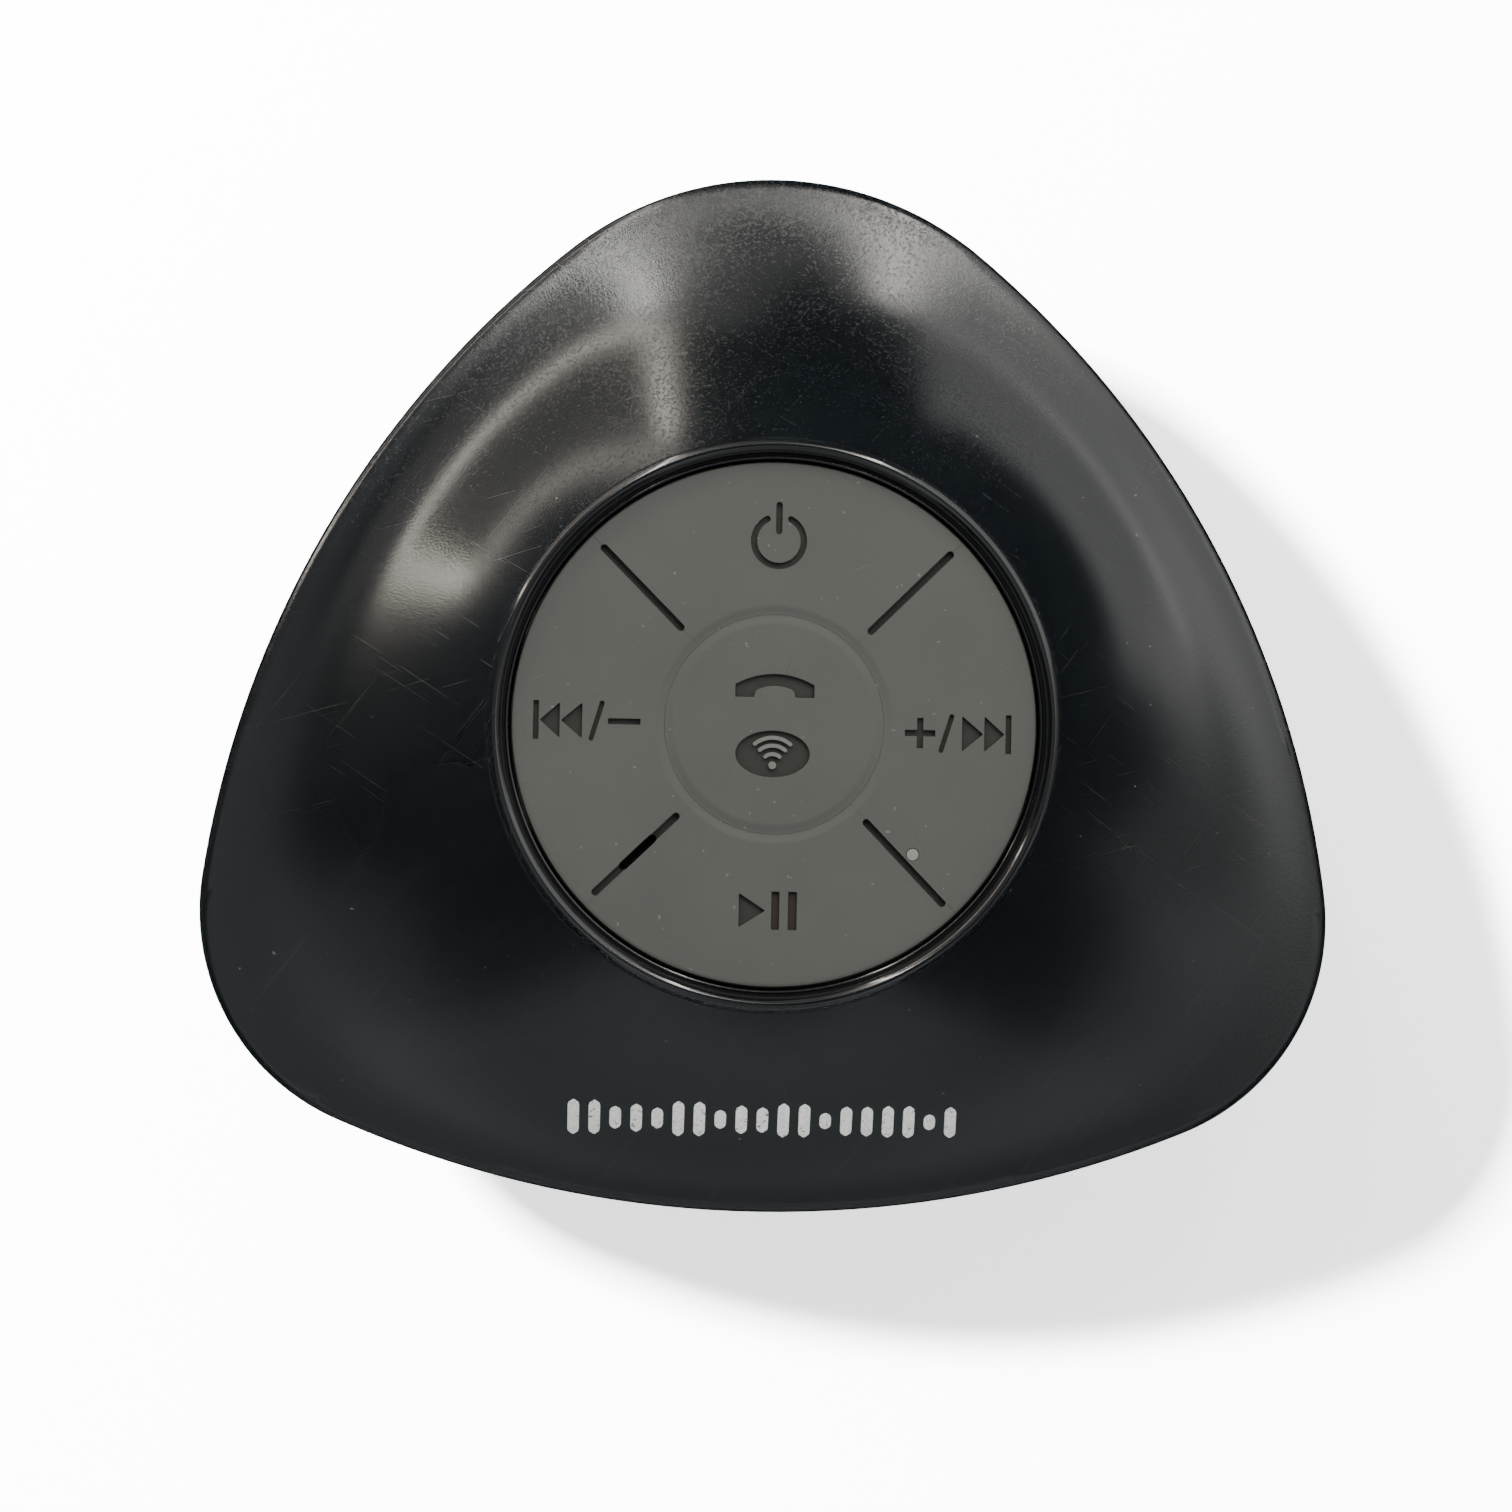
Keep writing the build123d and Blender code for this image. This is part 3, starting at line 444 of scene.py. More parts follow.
def shell_finish():
    """Black satin moulding: glossier towards the apex, with a rubbed sandy haze, scratches and dust."""
    colour = (0.003, 0.0048, 0.0065)
    material, tree, shader, where = finish_nodes("shell_black", colour, 0.3, specular=0.8)
    split = tree.nodes.new("ShaderNodeSeparateXYZ")
    tree.links.new(where, split.inputs["Vector"])
    along, above = split.outputs["Y"], split.outputs["Z"]
    front_only = spread(tree, above, parting * MM, (parting + brim_height) * MM)
    base = spread(tree, along, -0.022, 0.012, 0.3, 0.15)
    clouds = spread(tree, noise(tree, where, 40, 3), 0.35, 0.65, 0.0, 0.05)
    sand = noise(tree, where, 5200, 2, 0.6)
    pepper = spread(tree, noise(tree, where, 3600, 4, 0.8), 0.47, 0.7)
    worn = spread(tree, noise(tree, where, 55, 3), 0.36, 0.62, 0.25, 1.0)
    towards_apex = spread(tree, along, 0.002, 0.022, 0.0, 0.3)
    rubbed = combine(tree, "MULTIPLY", combine(tree, "MULTIPLY", pepper, worn), towards_apex)
    rubbed = combine(tree, "MULTIPLY", rubbed, front_only)
    marks = 0.0
    scratch_sets = [(38, 14000, 0.035, 0.6), (-57, 13000, 0.035, 0.61), (75, 15000, 0.03, 0.63)]
    for turn, lines, share, keep in scratch_sets:
        marks = combine(tree, "MAXIMUM", marks, scratches(tree, where, turn, lines, share, keep))
    marks = combine(tree, "MULTIPLY", marks, front_only)
    specks = spread(tree, noise(tree, where, 1500, 1), 0.79, 0.83)
    rough = combine(tree, "ADD", combine(tree, "ADD", base, clouds), rubbed)
    rough = combine(tree, "ADD", rough, combine(tree, "MULTIPLY", marks, 0.09))
    tree.links.new(rough, shader.inputs["Roughness"])
    tint = blend_colours(tree, combine(tree, "MULTIPLY", marks, 0.12), colour, (0.1, 0.1, 0.095))
    dusty = blend_colours(tree, combine(tree, "MULTIPLY", specks, 0.5), tint, (0.22, 0.22, 0.2))
    tree.links.new(dusty, shader.inputs["Base Color"])
    relief(tree, shader, sand, 0.000014, 0.6)
    return material


def ring_finish():
    """Polished black ring with a few hairline marks."""
    material, tree, shader, where = finish_nodes(
        "ring_gloss", (0.006, 0.007, 0.008), 0.16, coat=0.5, coat_roughness=0.06, specular=0.55
    )
    marks = scratches(tree, where, 25, 12000, 0.06, 0.55)
    clouds = spread(tree, noise(tree, where, 120, 3), 0.3, 0.7, 0.13, 0.22)
    rough = combine(tree, "ADD", clouds, combine(tree, "MULTIPLY", marks, 0.2))
    tree.links.new(rough, shader.inputs["Roughness"])
    return material


def silicone_finish(name, colour, lint=1.0):
    """Matt silicone with a fine grain, pale lint and rubbed patches."""
    material, tree, shader, where = finish_nodes(name, colour, 0.62, specular=0.32)
    grain = noise(tree, where, 3200, 2, 0.6)
    rubbed = noise(tree, where, 70, 4)
    strands = scratches(tree, where, 70, 9000, 0.012, 0.64)
    specks = spread(tree, noise(tree, where, 1700, 1), 0.765, 0.79)
    pale = tuple(min(1.0, part * 2.4) for part in colour)
    worn = tuple(part * 1.12 for part in colour)
    tone = blend_colours(tree, spread(tree, rubbed, 0.35, 0.65), colour, worn)
    dusty = combine(tree, "MULTIPLY", combine(tree, "MAXIMUM", specks, strands), 0.55 * lint)
    tree.links.new(blend_colours(tree, dusty, tone, pale), shader.inputs["Base Color"])
    tree.links.new(spread(tree, rubbed, 0.3, 0.7, 0.56, 0.68), shader.inputs["Roughness"])
    relief(tree, shader, grain, 0.00003, 0.5)
    return material


def plain_finish(name, colour, roughness, scale=400, tone=0.25, grain=0.3, depth=0.00002, **extra):
    """A solid finish whose colour and roughness vary gently."""
    material, tree, shader, where = finish_nodes(name, colour, roughness, **extra)
    mottle = noise(tree, where, scale, 4)
    dark = tuple(part * (1 - tone) for part in colour)
    tint = blend_colours(tree, spread(tree, mottle, 0.3, 0.7), dark, colour)
    tree.links.new(tint, shader.inputs["Base Color"])
    low, high = max(0.02, roughness - 0.07), min(1.0, roughness + 0.07)
    tree.links.new(spread(tree, mottle, 0.3, 0.7, low, high), shader.inputs["Roughness"])
    relief(tree, shader, noise(tree, where, scale * 8, 2), depth, grain)
    return material


def brushed_finish(name, colour, roughness):
    """Turned or plated metal with fine lines."""
    material, tree, shader, where = finish_nodes(name, colour, roughness, 1.0)
    lines = noise(tree, mapped(tree, where, (1, 1, 12)), 700, 3)
    dark = tuple(part * 0.75 for part in colour)
    tint = blend_colours(tree, spread(tree, lines, 0.3, 0.7), dark, colour)
    tree.links.new(tint, shader.inputs["Base Color"])
    rough = spread(tree, lines, 0.3, 0.7, roughness - 0.08, roughness + 0.1)
    tree.links.new(rough, shader.inputs["Roughness"])
    return material


def woven_finish(name, colour):
    """Cloth over the sound slots: a fine two-way weave."""
    material, tree, shader, where = finish_nodes(name, colour, 0.85)
    threads = []
    for axis in ("X", "Z"):
        wave = tree.nodes.new("ShaderNodeTexWave")
        wave.bands_direction = axis
        wave.inputs["Scale"].default_value = 700
        tree.links.new(where, wave.inputs["Vector"])
        threads.append(wave.outputs["Fac"])
    weave = combine(tree, "MULTIPLY", *threads)
    dark = tuple(part * 0.3 for part in colour)
    tree.links.new(blend_colours(tree, weave, dark, colour), shader.inputs["Base Color"])
    relief(tree, shader, weave, 0.00005, 0.6)
    return material


def board_finish():
    """Green circuit board with pale pads and traces."""
    material, tree, shader, where = finish_nodes("board", (0.01, 0.09, 0.035), 0.35, coat=0.4)
    cells = tree.nodes.new("ShaderNodeTexVoronoi")
    cells.distance = "CHEBYCHEV"
    cells.inputs["Scale"].default_value = 260
    tree.links.new(where, cells.inputs["Vector"])
    pads = spread(tree, cells.outputs["Distance"], 0.12, 0.14, 1.0, 0.0)
    traces = spread(tree, noise(tree, where, 160, 2), 0.49, 0.51)
    base = blend_colours(tree, traces, (0.008, 0.07, 0.028), (0.014, 0.115, 0.045))
    tree.links.new(blend_colours(tree, pads, base, (0.55, 0.5, 0.38)), shader.inputs["Base Color"])
    return material


def print_finish():
    """Silver-white ink, worn through in tiny specks."""
    material, tree, shader, where = finish_nodes("print_silver", (0.9, 0.91, 0.88), 0.45)
    worn = spread(tree, noise(tree, where, 2600, 2), 0.62, 0.68)
    patches = spread(tree, noise(tree, where, 500, 3), 0.4, 0.62, 0.15, 1.0)
    glitter = spread(tree, noise(tree, where, 4000, 1), 0.3, 0.7)
    shine = blend_colours(tree, glitter, (0.78, 0.79, 0.76), (1.0, 1.0, 0.97))
    tree.links.new(
        blend_colours(tree, combine(tree, "MULTIPLY", worn, patches), shine, (0.05, 0.055, 0.06)),
        shader.inputs["Base Color"],
    )
    return material


KEYPAD = (0.107, 0.1115, 0.102)
finishes = {
    "shell_black": shell_finish(),
    "ring_gloss": ring_finish(),
    "keypad_silicone": silicone_finish("keypad_silicone", KEYPAD),
    "light_lens": plain_finish("light_lens", (0.36, 0.36, 0.33), 0.3, coat=0.3),
    "cup_rubber": plain_finish("cup_rubber", (0.018, 0.019, 0.02), 0.42, scale=250, coat=0.2),
    "seal_rubber": plain_finish("seal_rubber", (0.03, 0.03, 0.032), 0.6),
    "foam": plain_finish("foam", (0.05, 0.05, 0.052), 0.95, scale=2500, tone=0.6, grain=1.0, depth=0.0001),
    "screw_steel": brushed_finish("screw_steel", (0.55, 0.55, 0.56), 0.3),
    "plated_steel": brushed_finish("plated_steel", (0.62, 0.62, 0.63), 0.22),
    "brass": brushed_finish("brass", (0.72, 0.52, 0.22), 0.3),
    "magnet_ferrite": plain_finish("magnet_ferrite", (0.05, 0.05, 0.052), 0.55, scale=900),
    "frame_plastic": plain_finish("frame_plastic", (0.03, 0.031, 0.033), 0.5),
    "switch_plastic": plain_finish("switch_plastic", (0.55, 0.53, 0.48), 0.45),
    "board": board_finish(),
    "chip_epoxy": plain_finish("chip_epoxy", (0.02, 0.02, 0.021), 0.5, scale=1500),
    "battery_foil": brushed_finish("battery_foil", (0.6, 0.6, 0.61), 0.3),
    "wire_insulation": plain_finish("wire_insulation", (0.35, 0.02, 0.02), 0.4),
    "cone_paper": plain_finish("cone_paper", (0.045, 0.043, 0.04), 0.9, scale=1800, tone=0.4, grain=0.7),
    "copper": brushed_finish("copper", (0.75, 0.36, 0.2), 0.3),
    "mesh_fabric": woven_finish("mesh_fabric", (0.03, 0.03, 0.032)),
}
# Darker silicone on the floors and walls of the signs, grooves and light hole: painted shade in these
# recesses.
recess_painted_shade = silicone_finish("icon_recess_painted_shade", (0.037, 0.038, 0.034), 0.3)
# Darker brownish silicone in the pause bars' recesses: a brownish stain, and painted shade in the recess.
stained_recess_painted_shade = silicone_finish("icon_recess_warm", (0.042, 0.033, 0.028), 0.3)
# Near-black finish on the microphone slit's walls and floor: painted shade in the slot.
slot_painted_shade = plain_finish("slot_painted_shade", (0.002, 0.002, 0.002), 0.9)
print_silver = print_finish()

slot_of = {part["node"]: part["material_slot"] for part in frame["record"]["subparts"]}
for node, piece in frame["nodes"].items():
    piece.data.materials.clear()
    piece.data.materials.append(finishes[slot_of[node]])


# ---------------------------------------------------------------- front shell
def build_front_shell():
    """Skin of the flared front: top, soft brim, upright edge, lip and inside, as one closed surface."""
    turns = [360 * index / COLUMNS for index in range(COLUMNS + 1)]
    reaches = []
    for turn in turns:
        far = Vector(outline_point(turn, 1, 0, shell_top_radius))
        near = Vector(outline_point(turn, 0, 0, shell_top_radius))
        reaches.append((far - near).length)
    rows = []
    flare_rows, brim_steps, inner_steps = 44, 8, 12
    for step in range(flare_rows + 1):
        row = []
        for turn, reach in zip(turns, reaches):
            blend = (1 - brim_round / reach) * step / flare_rows
            height = flare_height(blend, brim_top, shell_top)
            row.append((*outline_point(turn, blend, 0, shell_top_radius), height))
        rows.append(row)
    for step in range(1, brim_steps + 1):
        lean = math.radians(90 * step / brim_steps)
        row = []
        for turn, reach in zip(turns, reaches):
            lift = (shell_top - brim_top) * (brim_round / reach) ** 2
            height = brim_top - brim_round + (brim_round + lift) * math.cos(lean)
            inset = brim_round * (1 - math.sin(lean))
            row.append((*outline_point(turn, 1, inset, 0), height))
        rows.append(row)
    lip_inset, lip_inner = wall + 0.6, wall + 1.6
    lip_bottom, lip_root = parting - 1.4, parting + 0.9
    chamfer = 0.25
    rows.append(section(parting + chamfer, 1, 0, 0))
    rows.append(section(parting, 1, chamfer, 0))
    rows.append(section(parting, 1, lip_inset, 0))
    rows.append(section(lip_bottom, 1, lip_inset, 0))
    rows.append(section(lip_bottom, 1, lip_inner, 0))
    rows.append(section(lip_root, 1, lip_inner, 0))
    inner_core = bore_radius + 0.7
    inner_top = shell_top - 1.3
    widest_blend = 0.88
    for step in range(inner_steps, -1, -1):
        blend = widest_blend * step / inner_steps
        height = flare_height(blend, brim_top - wall, inner_top)
        rows.append(section(height, blend, wall, inner_core))
    for height in (inner_top, shell_top):
        rows.append(section(height, 0, 0, bore_radius))
    rows.append(rows[0])
    shell = formed("front_skin", rows)
    wear(shell, finishes["shell_black"])
    smooth(shell, 40)
    seat(shell, "housing", "shell_black", "front_shell")
    return shell


front = build_front_shell()


# ---------------------------------------------------------------- bezel ring
def build_ring():
    """Rounded ring, a narrow groove inside it, and a thin lip round the keypad."""
    outer, inner = ring_radius, keypad_radius + 0.2
    half, bulge = 0.61, 0.75
    middle = outer - half
    lip_half = 0.14
    lip_middle, lip_top = inner + lip_half, key_top + 0.12
    groove_bottom = lip_top - 0.6
    profile = [(outer, shell_top)]
    for step in range(19):
        lean = math.pi * step / 18
        profile.append((middle + half * math.cos(lean), crest - bulge + bulge * math.sin(lean)))
    profile.append((middle - half, groove_bottom))
    profile.append((lip_middle + lip_half, groove_bottom))
    for step in range(9):
        lean = math.pi * step / 8
        height = lip_top - lip_half + lip_half * math.sin(lean)
        profile.append((lip_middle + lip_half * math.cos(lean), height))
    profile.append((inner, ring_low.z))
    profile.append((inner + 0.5, ring_low.z))
    profile.append((inner + 0.5, shell_top))
    piece = turned("ring", profile, 192)
    wear(piece, finishes["ring_gloss"])
    smooth(piece, 40)
    seat(piece, "housing", "ring_gloss", "bezel_ring")


build_ring()


# ---------------------------------------------------------------- keypad
icon_depth = 0.42
groove_depth = 0.7
groove_start, groove_end, groove_width = 9.95, 18.9, 0.56
moat_radius, moat_reach, moat_depth = 8.35, 0.8, 0.12
light_x, light_y = 10.7, -9.7
seam_turn = 0.03  # degrees left free on each side of a key
seam_gap = 0.01
microphone_side = 225  # the lower left groove holds the microphone slot
slot_middle_radius, slot_half = 14.2, 1.5
lower_groove_turn = 0.85  # degrees by which the two lower grooves lie off the seams


def moat(radius):
    """Height of the keypad's top round the centre key's soft edge."""
    gap = abs(radius - moat_radius) / moat_reach
    return key_top - (moat_depth * (1 + math.cos(math.pi * gap)) / 2 if gap < 1 else 0)


def cutters(shapes, material, depth=icon_depth):
    """One cutter for several flat shapes that don't touch each other."""
    pieces = [slab("cutter", shape, key_top - depth, key_top + 0.6) for shape in shapes]
    cutter = join(pieces, "cutter")
    cutter.data.materials.append(material)
    return cutter


def spoke(angle, start, end, width):
    """Straight stroke along a radius of the keypad."""
    ends = [(reach * math.cos(angle), reach * math.sin(angle)) for reach in (start, end)]
    return capsule(*ends, width)


def power_sign():
    x, y = 0.1, 13.95
    return [bow((x, y), 1.9, 118, 422, 0.48), capsule((x, y + 0.75), (x, y + 2.75), 0.48)]


def triangle(x, y, width, height):
    """Triangle with its tip at x and its back at x - width; a negative width turns it round."""
    corners = [(x - width, y - height / 2), (x, y), (x - width, y + height / 2)]
    return rounded(corners if width > 0 else corners[::-1], 0.06)


def back_signs():
    y = 0.02
    return [
        bar(-18.1, y, 0.42, 2.95),
        triangle(-17.8, y, -1.5, 2.7),
        triangle(-16.2, y, -1.6, 2.7),
        capsule((-13.9, y - 1.35), (-13.1, y + 1.35), 0.36),
        bar(-11.4, y - 0.02, 2.45, 0.44),
    ]


def forward_signs():
    y = -0.45
    plus = [(-1.15, -0.23), (-0.23, -0.23), (-0.23, -1.15), (0.23, -1.15), (0.23, -0.23), (1.15, -0.23)]
    plus = plus + [(-px, -py) for px, py in plus]
    return [
        [(11.1 + px, y + py) for px, py in plus],
        capsule((12.7, y - 1.3), (13.5, y + 1.3), 0.36),
        triangle(15.9, y, 1.6, 2.7),
        triangle(17.52, y, 1.52, 2.7),
        bar(17.83, y, 0.42, 2.95),
    ]


def play_signs():
    y = -14.15
    return [triangle(-0.45, y, 2.0, 2.6)], [bar(0.32, y, 0.6, 2.9), bar(1.62, y, 0.66, 2.9)]


def handset_sign():
    """Telephone handset seen from the side, lying over its two ends."""
    middle = (0.0, 2.95)
    top = arc_points((middle[0], middle[1] - 5.05), 5.9, 118, 62, 14)
    shape = [(middle[0] - 2.97, middle[1] - 0.87), (middle[0] - 2.97, middle[1] + 0.05)]
    shape += [(x, y) for x, y in top if abs(x - middle[0]) < 2.9]
    shape += [(middle[0] + 2.97, middle[1] + 0.05), (middle[0] + 2.97, middle[1] - 0.87)]
    shape += [(middle[0] + 1.6, middle[1] - 0.87), (middle[0] + 1.5, middle[1] - 0.45)]
    shape += arc_points((middle[0], middle[1] - 3.2), 3.2, 66, 114, 8)
    shape += [(middle[0] - 1.5, middle[1] - 0.45), (middle[0] - 1.6, middle[1] - 0.87)]
    return shape[::-1]


def quadrant_key(name, angle, shapes, warm_shapes=()):
    """Quarter of the keypad with its icon and its halves of two grooves."""
    start = moat_radius + seam_gap
    profile = [(start, key_bottom), (start, moat(start))]
    for step in range(1, 9):
        radius = moat_radius + moat_reach * step / 8
        profile.append((radius, moat(radius)))
    profile += [(keypad_radius - 3, key_top), (keypad_radius - 0.35, key_top)]
    profile += [(keypad_radius - 0.1, key_top - 0.1), (keypad_radius, key_top - 0.35)]
    profile.append((keypad_radius, key_bottom))
    key = turned(name, profile, 40, angle - 45 + seam_turn, 90 - 2 * seam_turn, capped=True)
    wear(key, finishes["keypad_silicone"])
    for side in (angle - 45, angle + 45):
        lower = side % 360 > 180
        line = math.radians(side - (lower_groove_turn if lower else 0))
        half = groove_width / 2
        groove = spoke(line, groove_start + half, groove_end - half, groove_width)
        # the groove's walls and floor take the painted shade
        cut(key, cutters([groove], recess_painted_shade, groove_depth))
        if side % 360 == microphone_side:
            slit_ends = slot_middle_radius - slot_half, slot_middle_radius + slot_half
            slit = spoke(line, *slit_ends, groove_width + 0.1)
            # the slit's walls and floor take the near-black painted shade
            cut(key, cutters([slit], slot_painted_shade, 2.0))
    if name == "key_forward":
        hole = arc_points((light_x, light_y), 0.5, 0, 345, 23)
        # the light hole's walls take the painted shade
        cut(key, cutters([hole], recess_painted_shade, 3.0))
    # the signs' recesses take the painted shade
    cut(key, cutters(shapes, recess_painted_shade))
    if warm_shapes:
        # the pause bars' recesses take the brownish stain and the painted shade
        cut(key, cutters(warm_shapes, stained_recess_painted_shade))
    return key


def even_shading(piece):
    """Keeps the large flat faces flat to the eye beside their small rounded edges."""
    smooth(piece, 30)
    weigh = piece.modifiers.new("weigh", "WEIGHTED_NORMAL")
    weigh.keep_sharp = True
    weigh.weight = 80
    bpy.ops.object.modifier_apply(modifier="weigh")


def soften_signs(key, reach, sides=()):
    """Rounds the upper edges of a key's signs, but not its rim or the seams at its sides."""

    def on_sign(end):
        x, y = end.x, end.y - axis_y
        turn = math.degrees(math.atan2(y, x))
        on_seam = any(abs((turn - side + 180) % 360 - 180) < 0.2 for side in sides)
        return abs(end.z - key_top) < 0.01 and math.hypot(x, y) < reach and not on_seam

    pick(key)
    bpy.ops.object.mode_set(mode="EDIT")
    bpy.ops.mesh.select_all(action="SELECT")
    bpy.ops.mesh.dissolve_limited(angle_limit=math.radians(0.2), delimit={"MATERIAL"})
    tidy_mesh(key, 0.0002)
    soften(key, 0.09, on_sign)


triangle_shape, pause_shapes = play_signs()
outer_keys = [
    ("key_switch_on", 90, power_sign(), (), "key_power"),
    ("key_back", 180, back_signs(), (), "key_previous"),
    ("key_forward", 0, forward_signs(), (), "key_next"),
    ("key_play", 270, triangle_shape, pause_shapes, "key_play_pause"),
]
for name, angle, shapes, warm_shapes, node in outer_keys:
    key = quadrant_key(name, angle, shapes, warm_shapes)
    soften_signs(key, keypad_radius - 0.5, (angle - 45, angle + 45))
    even_shading(key)
    seat(key, node, "keypad_silicone", node)


def build_centre_key():
    """Round key with the handset and, in an oval dish, raised radio waves."""
    edge = moat_radius - seam_gap
    profile = [(0.0, key_bottom), (edge, key_bottom), (edge, moat(edge))]
    for step in range(1, 9):
        radius = moat_radius - moat_reach * step / 8
        profile.append((radius, moat(radius)))
    profile.append((0.0, key_top))
    key = turned("key_centre", profile, 160)
    wear(key, finishes["keypad_silicone"])
    # the handset's recess takes the painted shade
    cut(key, cutters([handset_sign()], recess_painted_shade))
    x, y = -0.1, -2.26
    dish = []
    for index in range(64):
        turn = 2 * math.pi * index / 64
        dish.append((x + 2.8 * math.cos(turn), y + 1.75 * math.sin(turn)))
    # the dish's floor and walls take the painted shade
    cut(key, cutters([dish], recess_painted_shade))
    soften_signs(key, moat_radius - moat_reach)
    shapes = [arc_points((x, y - 0.85), 0.3, 0, 330, 11)]
    for reach in (0.85, 1.5, 2.1):
        shapes.append(bow((x, y - 0.85), reach, 50, 130, 0.3, 14))
    pieces = [slab("wave", shape, key_top - icon_depth - 0.05, key_top - 0.06) for shape in shapes]
    waves = join(pieces, "waves")
    wear(waves, silicone_finish("wave_silicone", (0.2, 0.205, 0.19), 0.3))
    key = join([key, waves], "key_centre")
    even_shading(key)
    seat(key, "key_call", "keypad_silicone", "key_call")


build_centre_key()


# ---------------------------------------------------------------- printed level bars
def build_print():
    """Row of rounded bars, like a sound-level display, printed on the brim."""
    count, pitch, width = 19, 1.64, 0.9
    middle_y = axis_y - 30.563
    tallest = 3.2
    above_shell = 60
    bars = []
    for index in range(count):
        x = (index - (count - 1) / 2) * pitch
        # two waves out of step give levels that don't repeat along the row
        share = 0.5 + 0.5 * math.sin(index * 1.9 + 0.6) * math.cos(index * 0.55)
        height = tallest * (0.38 + 0.62 * share)
        rows = []
        for step in range(13):
            along = -1 + 2 * step / 12
            y = along * height / 2
            edge = max(0.0, abs(y) - (height / 2 - width / 2)) / (width / 2)
            half = width / 2 * math.sqrt(max(0.02, 1 - edge**2))
            rows.append([(x + half * side, middle_y + y, above_shell) for side in (-1, -0.5, 0, 0.5, 1)])
        bars.append(formed("bar", rows))
    ink = join(bars, "level_print")
    pick(ink)
    wrap = ink.modifiers.new("lay", "SHRINKWRAP")
    wrap.target = front
    wrap.wrap_method = "PROJECT"
    wrap.use_project_z = True
    wrap.use_negative_direction = True
    wrap.use_positive_direction = False
    wrap.offset = 0.012 * MM
    bpy.ops.object.modifier_apply(modifier="lay")
    thick = ink.modifiers.new("film", "SOLIDIFY")
    thick.thickness = 0.02 * MM
    thick.offset = 0
    bpy.ops.object.modifier_apply(modifier="film")
    tidy_mesh(ink, 0.0001)
    wear(ink, print_silver)
    smooth(ink, 60)
    seat(ink, "housing", "shell_black")


build_print()


# ---------------------------------------------------------------- port cover
def build_port_flap():
    """Silicone flap over the charging socket, with rounded edges and a shallow finger groove."""
    deselect_all()
    bpy.ops.mesh.primitive_plane_add()
    flap = bpy.context.active_object
    flap.data = frame["nodes"]["port_cover"].data.copy()
    flap.name = "port_flap"
    flap.data.name = "port_flap"
    finish = silicone_finish("flap_silicone", (0.022, 0.023, 0.022), 0.5)
    flap.data.materials.clear()
    flap.data.materials.append(finish)
    groove_width, groove_radius, groove_proud = 5.0, 0.7, 0.3
    groove_height = cover_high.z - 1.5
    outside = Vector((0, cover_low.y - 10, groove_height)) * MM
    place = flap.ray_cast(outside, Vector((0, 1, 0)))[1]
    pick(flap)
    bpy.ops.object.mode_set(mode="EDIT")
    bpy.ops.mesh.select_all(action="SELECT")
    bpy.ops.mesh.remove_doubles(threshold=0.001 * MM)
    bpy.ops.mesh.dissolve_limited(angle_limit=math.radians(1))
    bpy.ops.object.mode_set(mode="OBJECT")
    rounding = flap.modifiers.new("rounding", "BEVEL")
    rounding.limit_method = "ANGLE"
    rounding.angle_limit = math.radians(40)
    rounding.width = 0.22 * MM
    rounding.segments = 3
    bpy.ops.object.modifier_apply(modifier="rounding")
    deselect_all()
    bpy.ops.mesh.primitive_cylinder_add(
        vertices=32,
        radius=groove_radius * MM,
        depth=groove_width * MM,
        location=(0, place.y - groove_proud * MM, place.z),
        rotation=(0, math.radians(90), 0),
    )
    dip = bpy.context.active_object
    dip.data.materials.append(finish)
    cut(flap, dip)
    tidy_mesh(flap, 0.0002)
    even_shading(flap)
    seat(flap, "port_cover", slot_of["port_cover"], "port_cover")


build_port_flap()


# ---------------------------------------------------------------- stage, camera and lights
deselect_all()
bpy.ops.mesh.primitive_plane_add(size=8)
floor = bpy.context.active_object
floor.name = "floor"
floor_glow, floor_bounce = 1.9, 0.3
paper, tree, shader, where = finish_nodes("paper", (0.86, 0.86, 0.86), 0.9, specular=0.1)
shader.inputs["Emission Color"].default_value = (1, 1, 1, 1)
path = tree.nodes.new("ShaderNodeLightPath")
glow = spread(tree, path.outputs["Is Camera Ray"], 0.0, 1.0, floor_bounce, floor_glow)
tree.links.new(glow, shader.inputs["Emission Strength"])
floor.data.materials.append(paper)
floor.visible_glossy = False
floor.visible_shadow = False

keypad_centre = Vector((0, axis_y, key_top))
sensor_width, lens_length = 36, 109.8333
deselect_all()
bpy.ops.object.camera_add()
camera = bpy.context.active_object
camera.data.sensor_width = sensor_width
camera.data.lens = lens_length
camera.data.clip_start = 0.01
camera.data.clip_end = 20
stand = keypad_centre + Vector((-12.5, -12, 350))
aim = keypad_centre + Vector((-1.35, -2.43, 0))
back = (stand - aim).normalized()
roll = math.radians(1.05)
right = Vector((-math.sin(roll), math.cos(roll), 0)).cross(back).normalized()
up = back.cross(right)
camera.matrix_world = Matrix(
    (
        (right.x, up.x, back.x, stand.x * MM),
        (right.y, up.y, back.y, stand.y * MM),
        (right.z, up.z, back.z, stand.z * MM),
        (0, 0, 0, 1),
    )
)
bpy.context.scene.camera = camera

world = bpy.data.worlds.new("studio")
bpy.context.scene.world = world
world.use_nodes = True
air = world.node_tree
background = air.nodes["Background"]
background.inputs["Color"].default_value = (0.9, 0.95, 1.0, 1)
background.inputs["Strength"].default_value = 0.008
bright = air.nodes.new("ShaderNodeBackground")
bright.inputs["Color"].default_value = (1, 1, 1, 1)
bright.inputs["Strength"].default_value = floor_glow
seen = air.nodes.new("ShaderNodeLightPath")
either = air.nodes.new("ShaderNodeMixShader")
air.links.new(seen.outputs["Is Camera Ray"], either.inputs["Fac"])
air.links.new(background.outputs["Background"], either.inputs[1])
air.links.new(bright.outputs["Background"], either.inputs[2])
air.links.new(either.outputs["Shader"], air.nodes["World Output"].inputs["Surface"])


lamp_target = Vector((0, 0, 30))


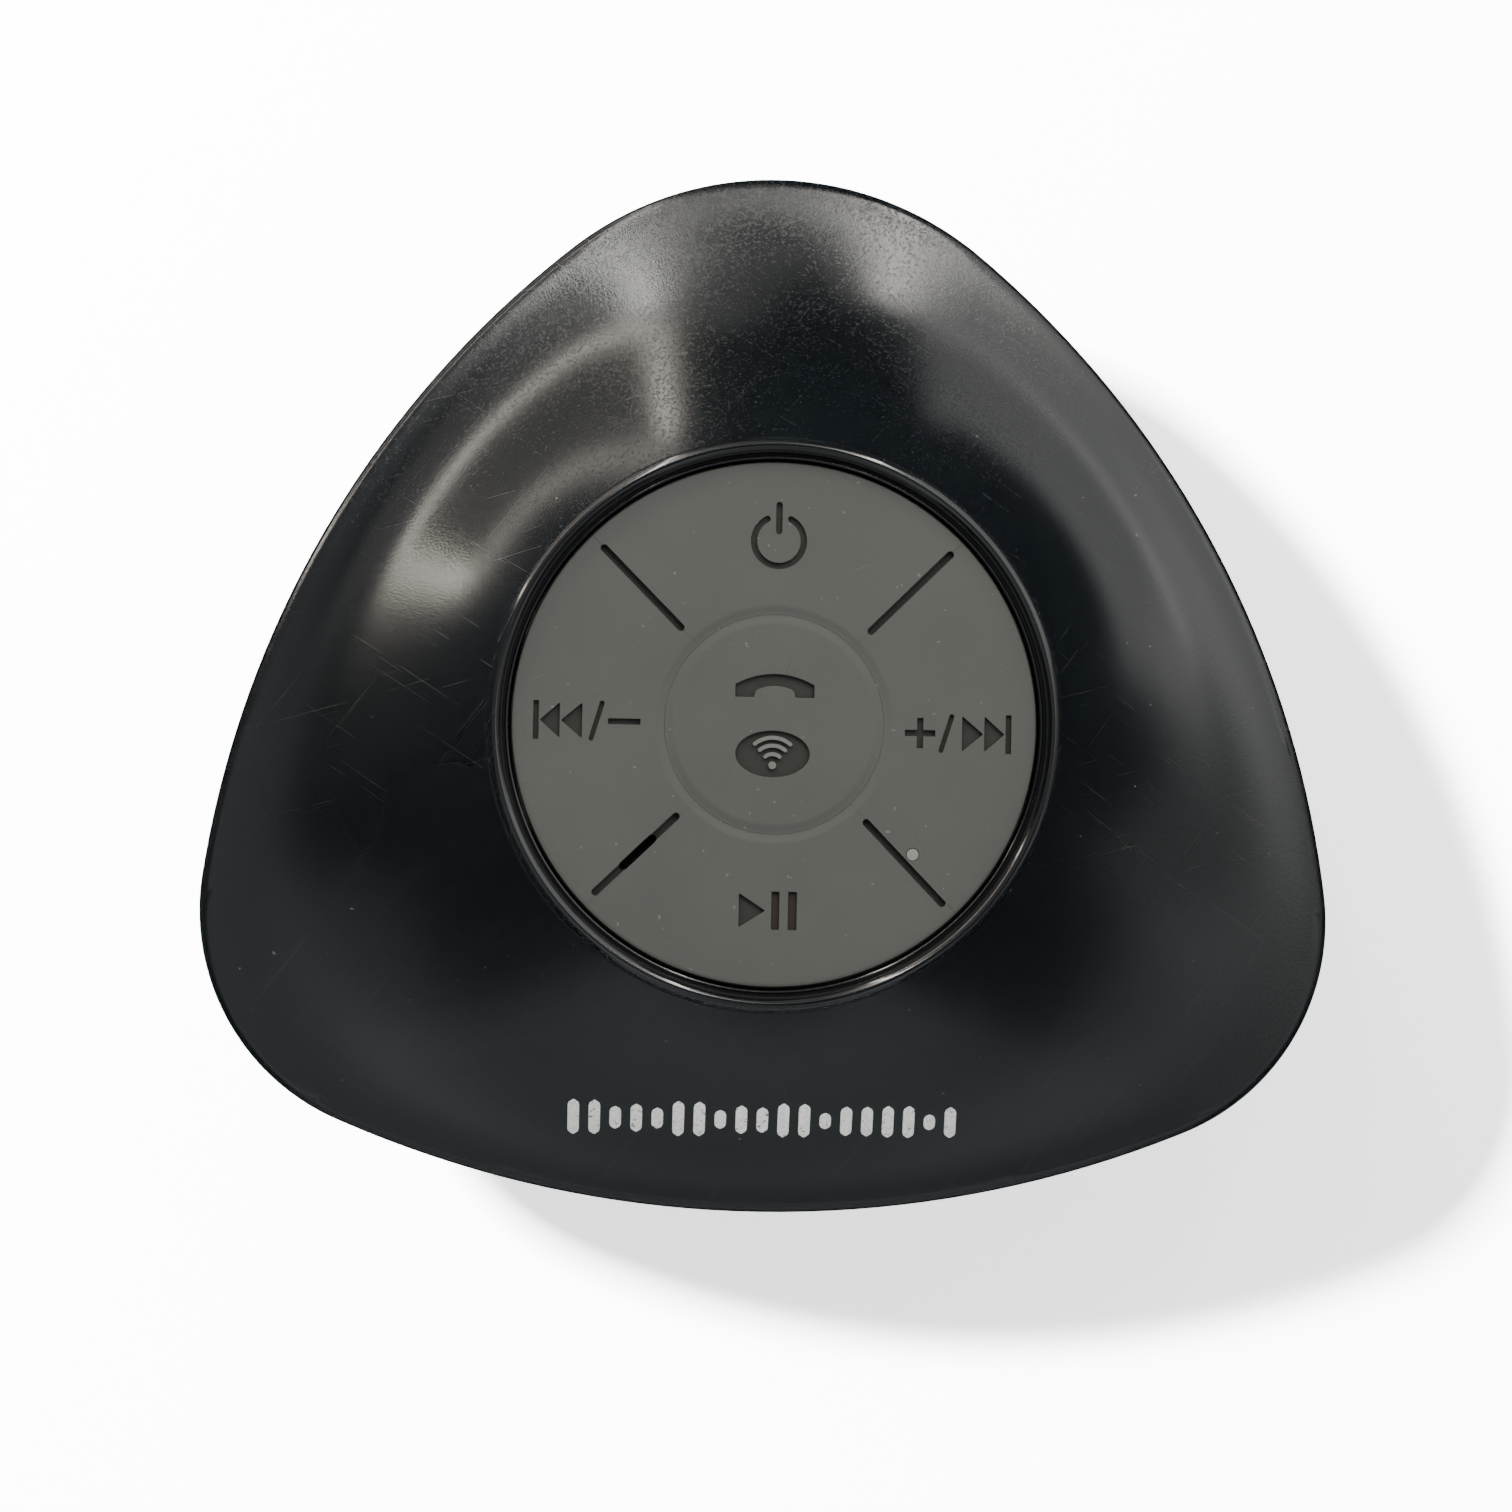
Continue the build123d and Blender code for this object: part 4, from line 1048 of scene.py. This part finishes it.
def lamp(name, azimuth, elevation, distance, size, power, colour=(1, 1, 1)):
    """Rectangular lamp that faces the target; azimuth is counted from +X."""
    deselect_all()
    bpy.ops.object.light_add(type="AREA")
    light = bpy.context.active_object
    light.name = name
    light.data.shape = "RECTANGLE"
    light.data.size = size[0] * MM
    light.data.size_y = size[1] * MM
    light.data.energy = power
    light.data.color = colour
    around, above = math.radians(azimuth), math.radians(elevation)
    away = Vector((math.cos(around) * math.cos(above), math.sin(around) * math.cos(above), math.sin(above)))
    light.location = (lamp_target + away * distance) * MM
    light.rotation_mode = "QUATERNION"
    light.rotation_quaternion = away.to_track_quat("Z", "Y")
    light.visible_camera = False
    return light


lamp("sky_panel", 42, 54, 700, (480, 600), 1.3, (1.0, 1.0, 0.98))
lamp("sky_low", 38, 18, 700, (560, 440), 0.82, (1.0, 0.99, 0.97))
lamp("sky_right", 2, 38, 700, (560, 600), 0.4, (1.0, 0.99, 0.97))
lamp("right_fill", 316, 46, 700, (560, 460), 0.31, (0.9, 0.96, 1.0))
lamp("front_high", 270, 48, 700, (760, 380), 0.31, (0.9, 0.96, 1.0))
lamp("front_fill", 268, 8, 700, (860, 680), 0.76, (0.88, 0.95, 1.0))
lamp("left_fill", 220, 46, 700, (520, 380), 0.24, (0.88, 0.95, 1.0))
lamp("sky_fill", 205, 68, 700, (700, 420), 0.3, (0.9, 0.96, 1.0))
lamp("sky_top", 100, 82, 700, (300, 300), 0.05)
lamp("upper_left", 120, 40, 700, (700, 420), 0.5, (1.0, 0.97, 0.93))
lamp("streak_left", 111, 52, 400, (12, 300), 0.42, (1.0, 0.97, 0.92))
lamp("streak_right", 68, 52, 400, (15, 260), 0.38, (1.0, 0.97, 0.9))
warm = (1.0, 0.93, 0.82)
lamp("window_head", 131, 28, 400, (270, 22), 0.22, warm)
lamp("window_sill", 131, -8, 400, (270, 22), 0.1, warm)
lamp("window_left", 151, 10, 420, (24, 230), 0.22, warm)
lamp("window_right", 110, 10, 420, (20, 230), 0.18, warm)
lamp("window_pane", 131, 10, 430, (220, 200), 0.07, warm)
shadow_key = lamp("shadow_key", 150, 50, 900, (90, 90), 130.0)
floor_only = bpy.data.collections.new("floor_only")
floor_only.objects.link(floor)
shadow_key.light_linking.receiver_collection = floor_only
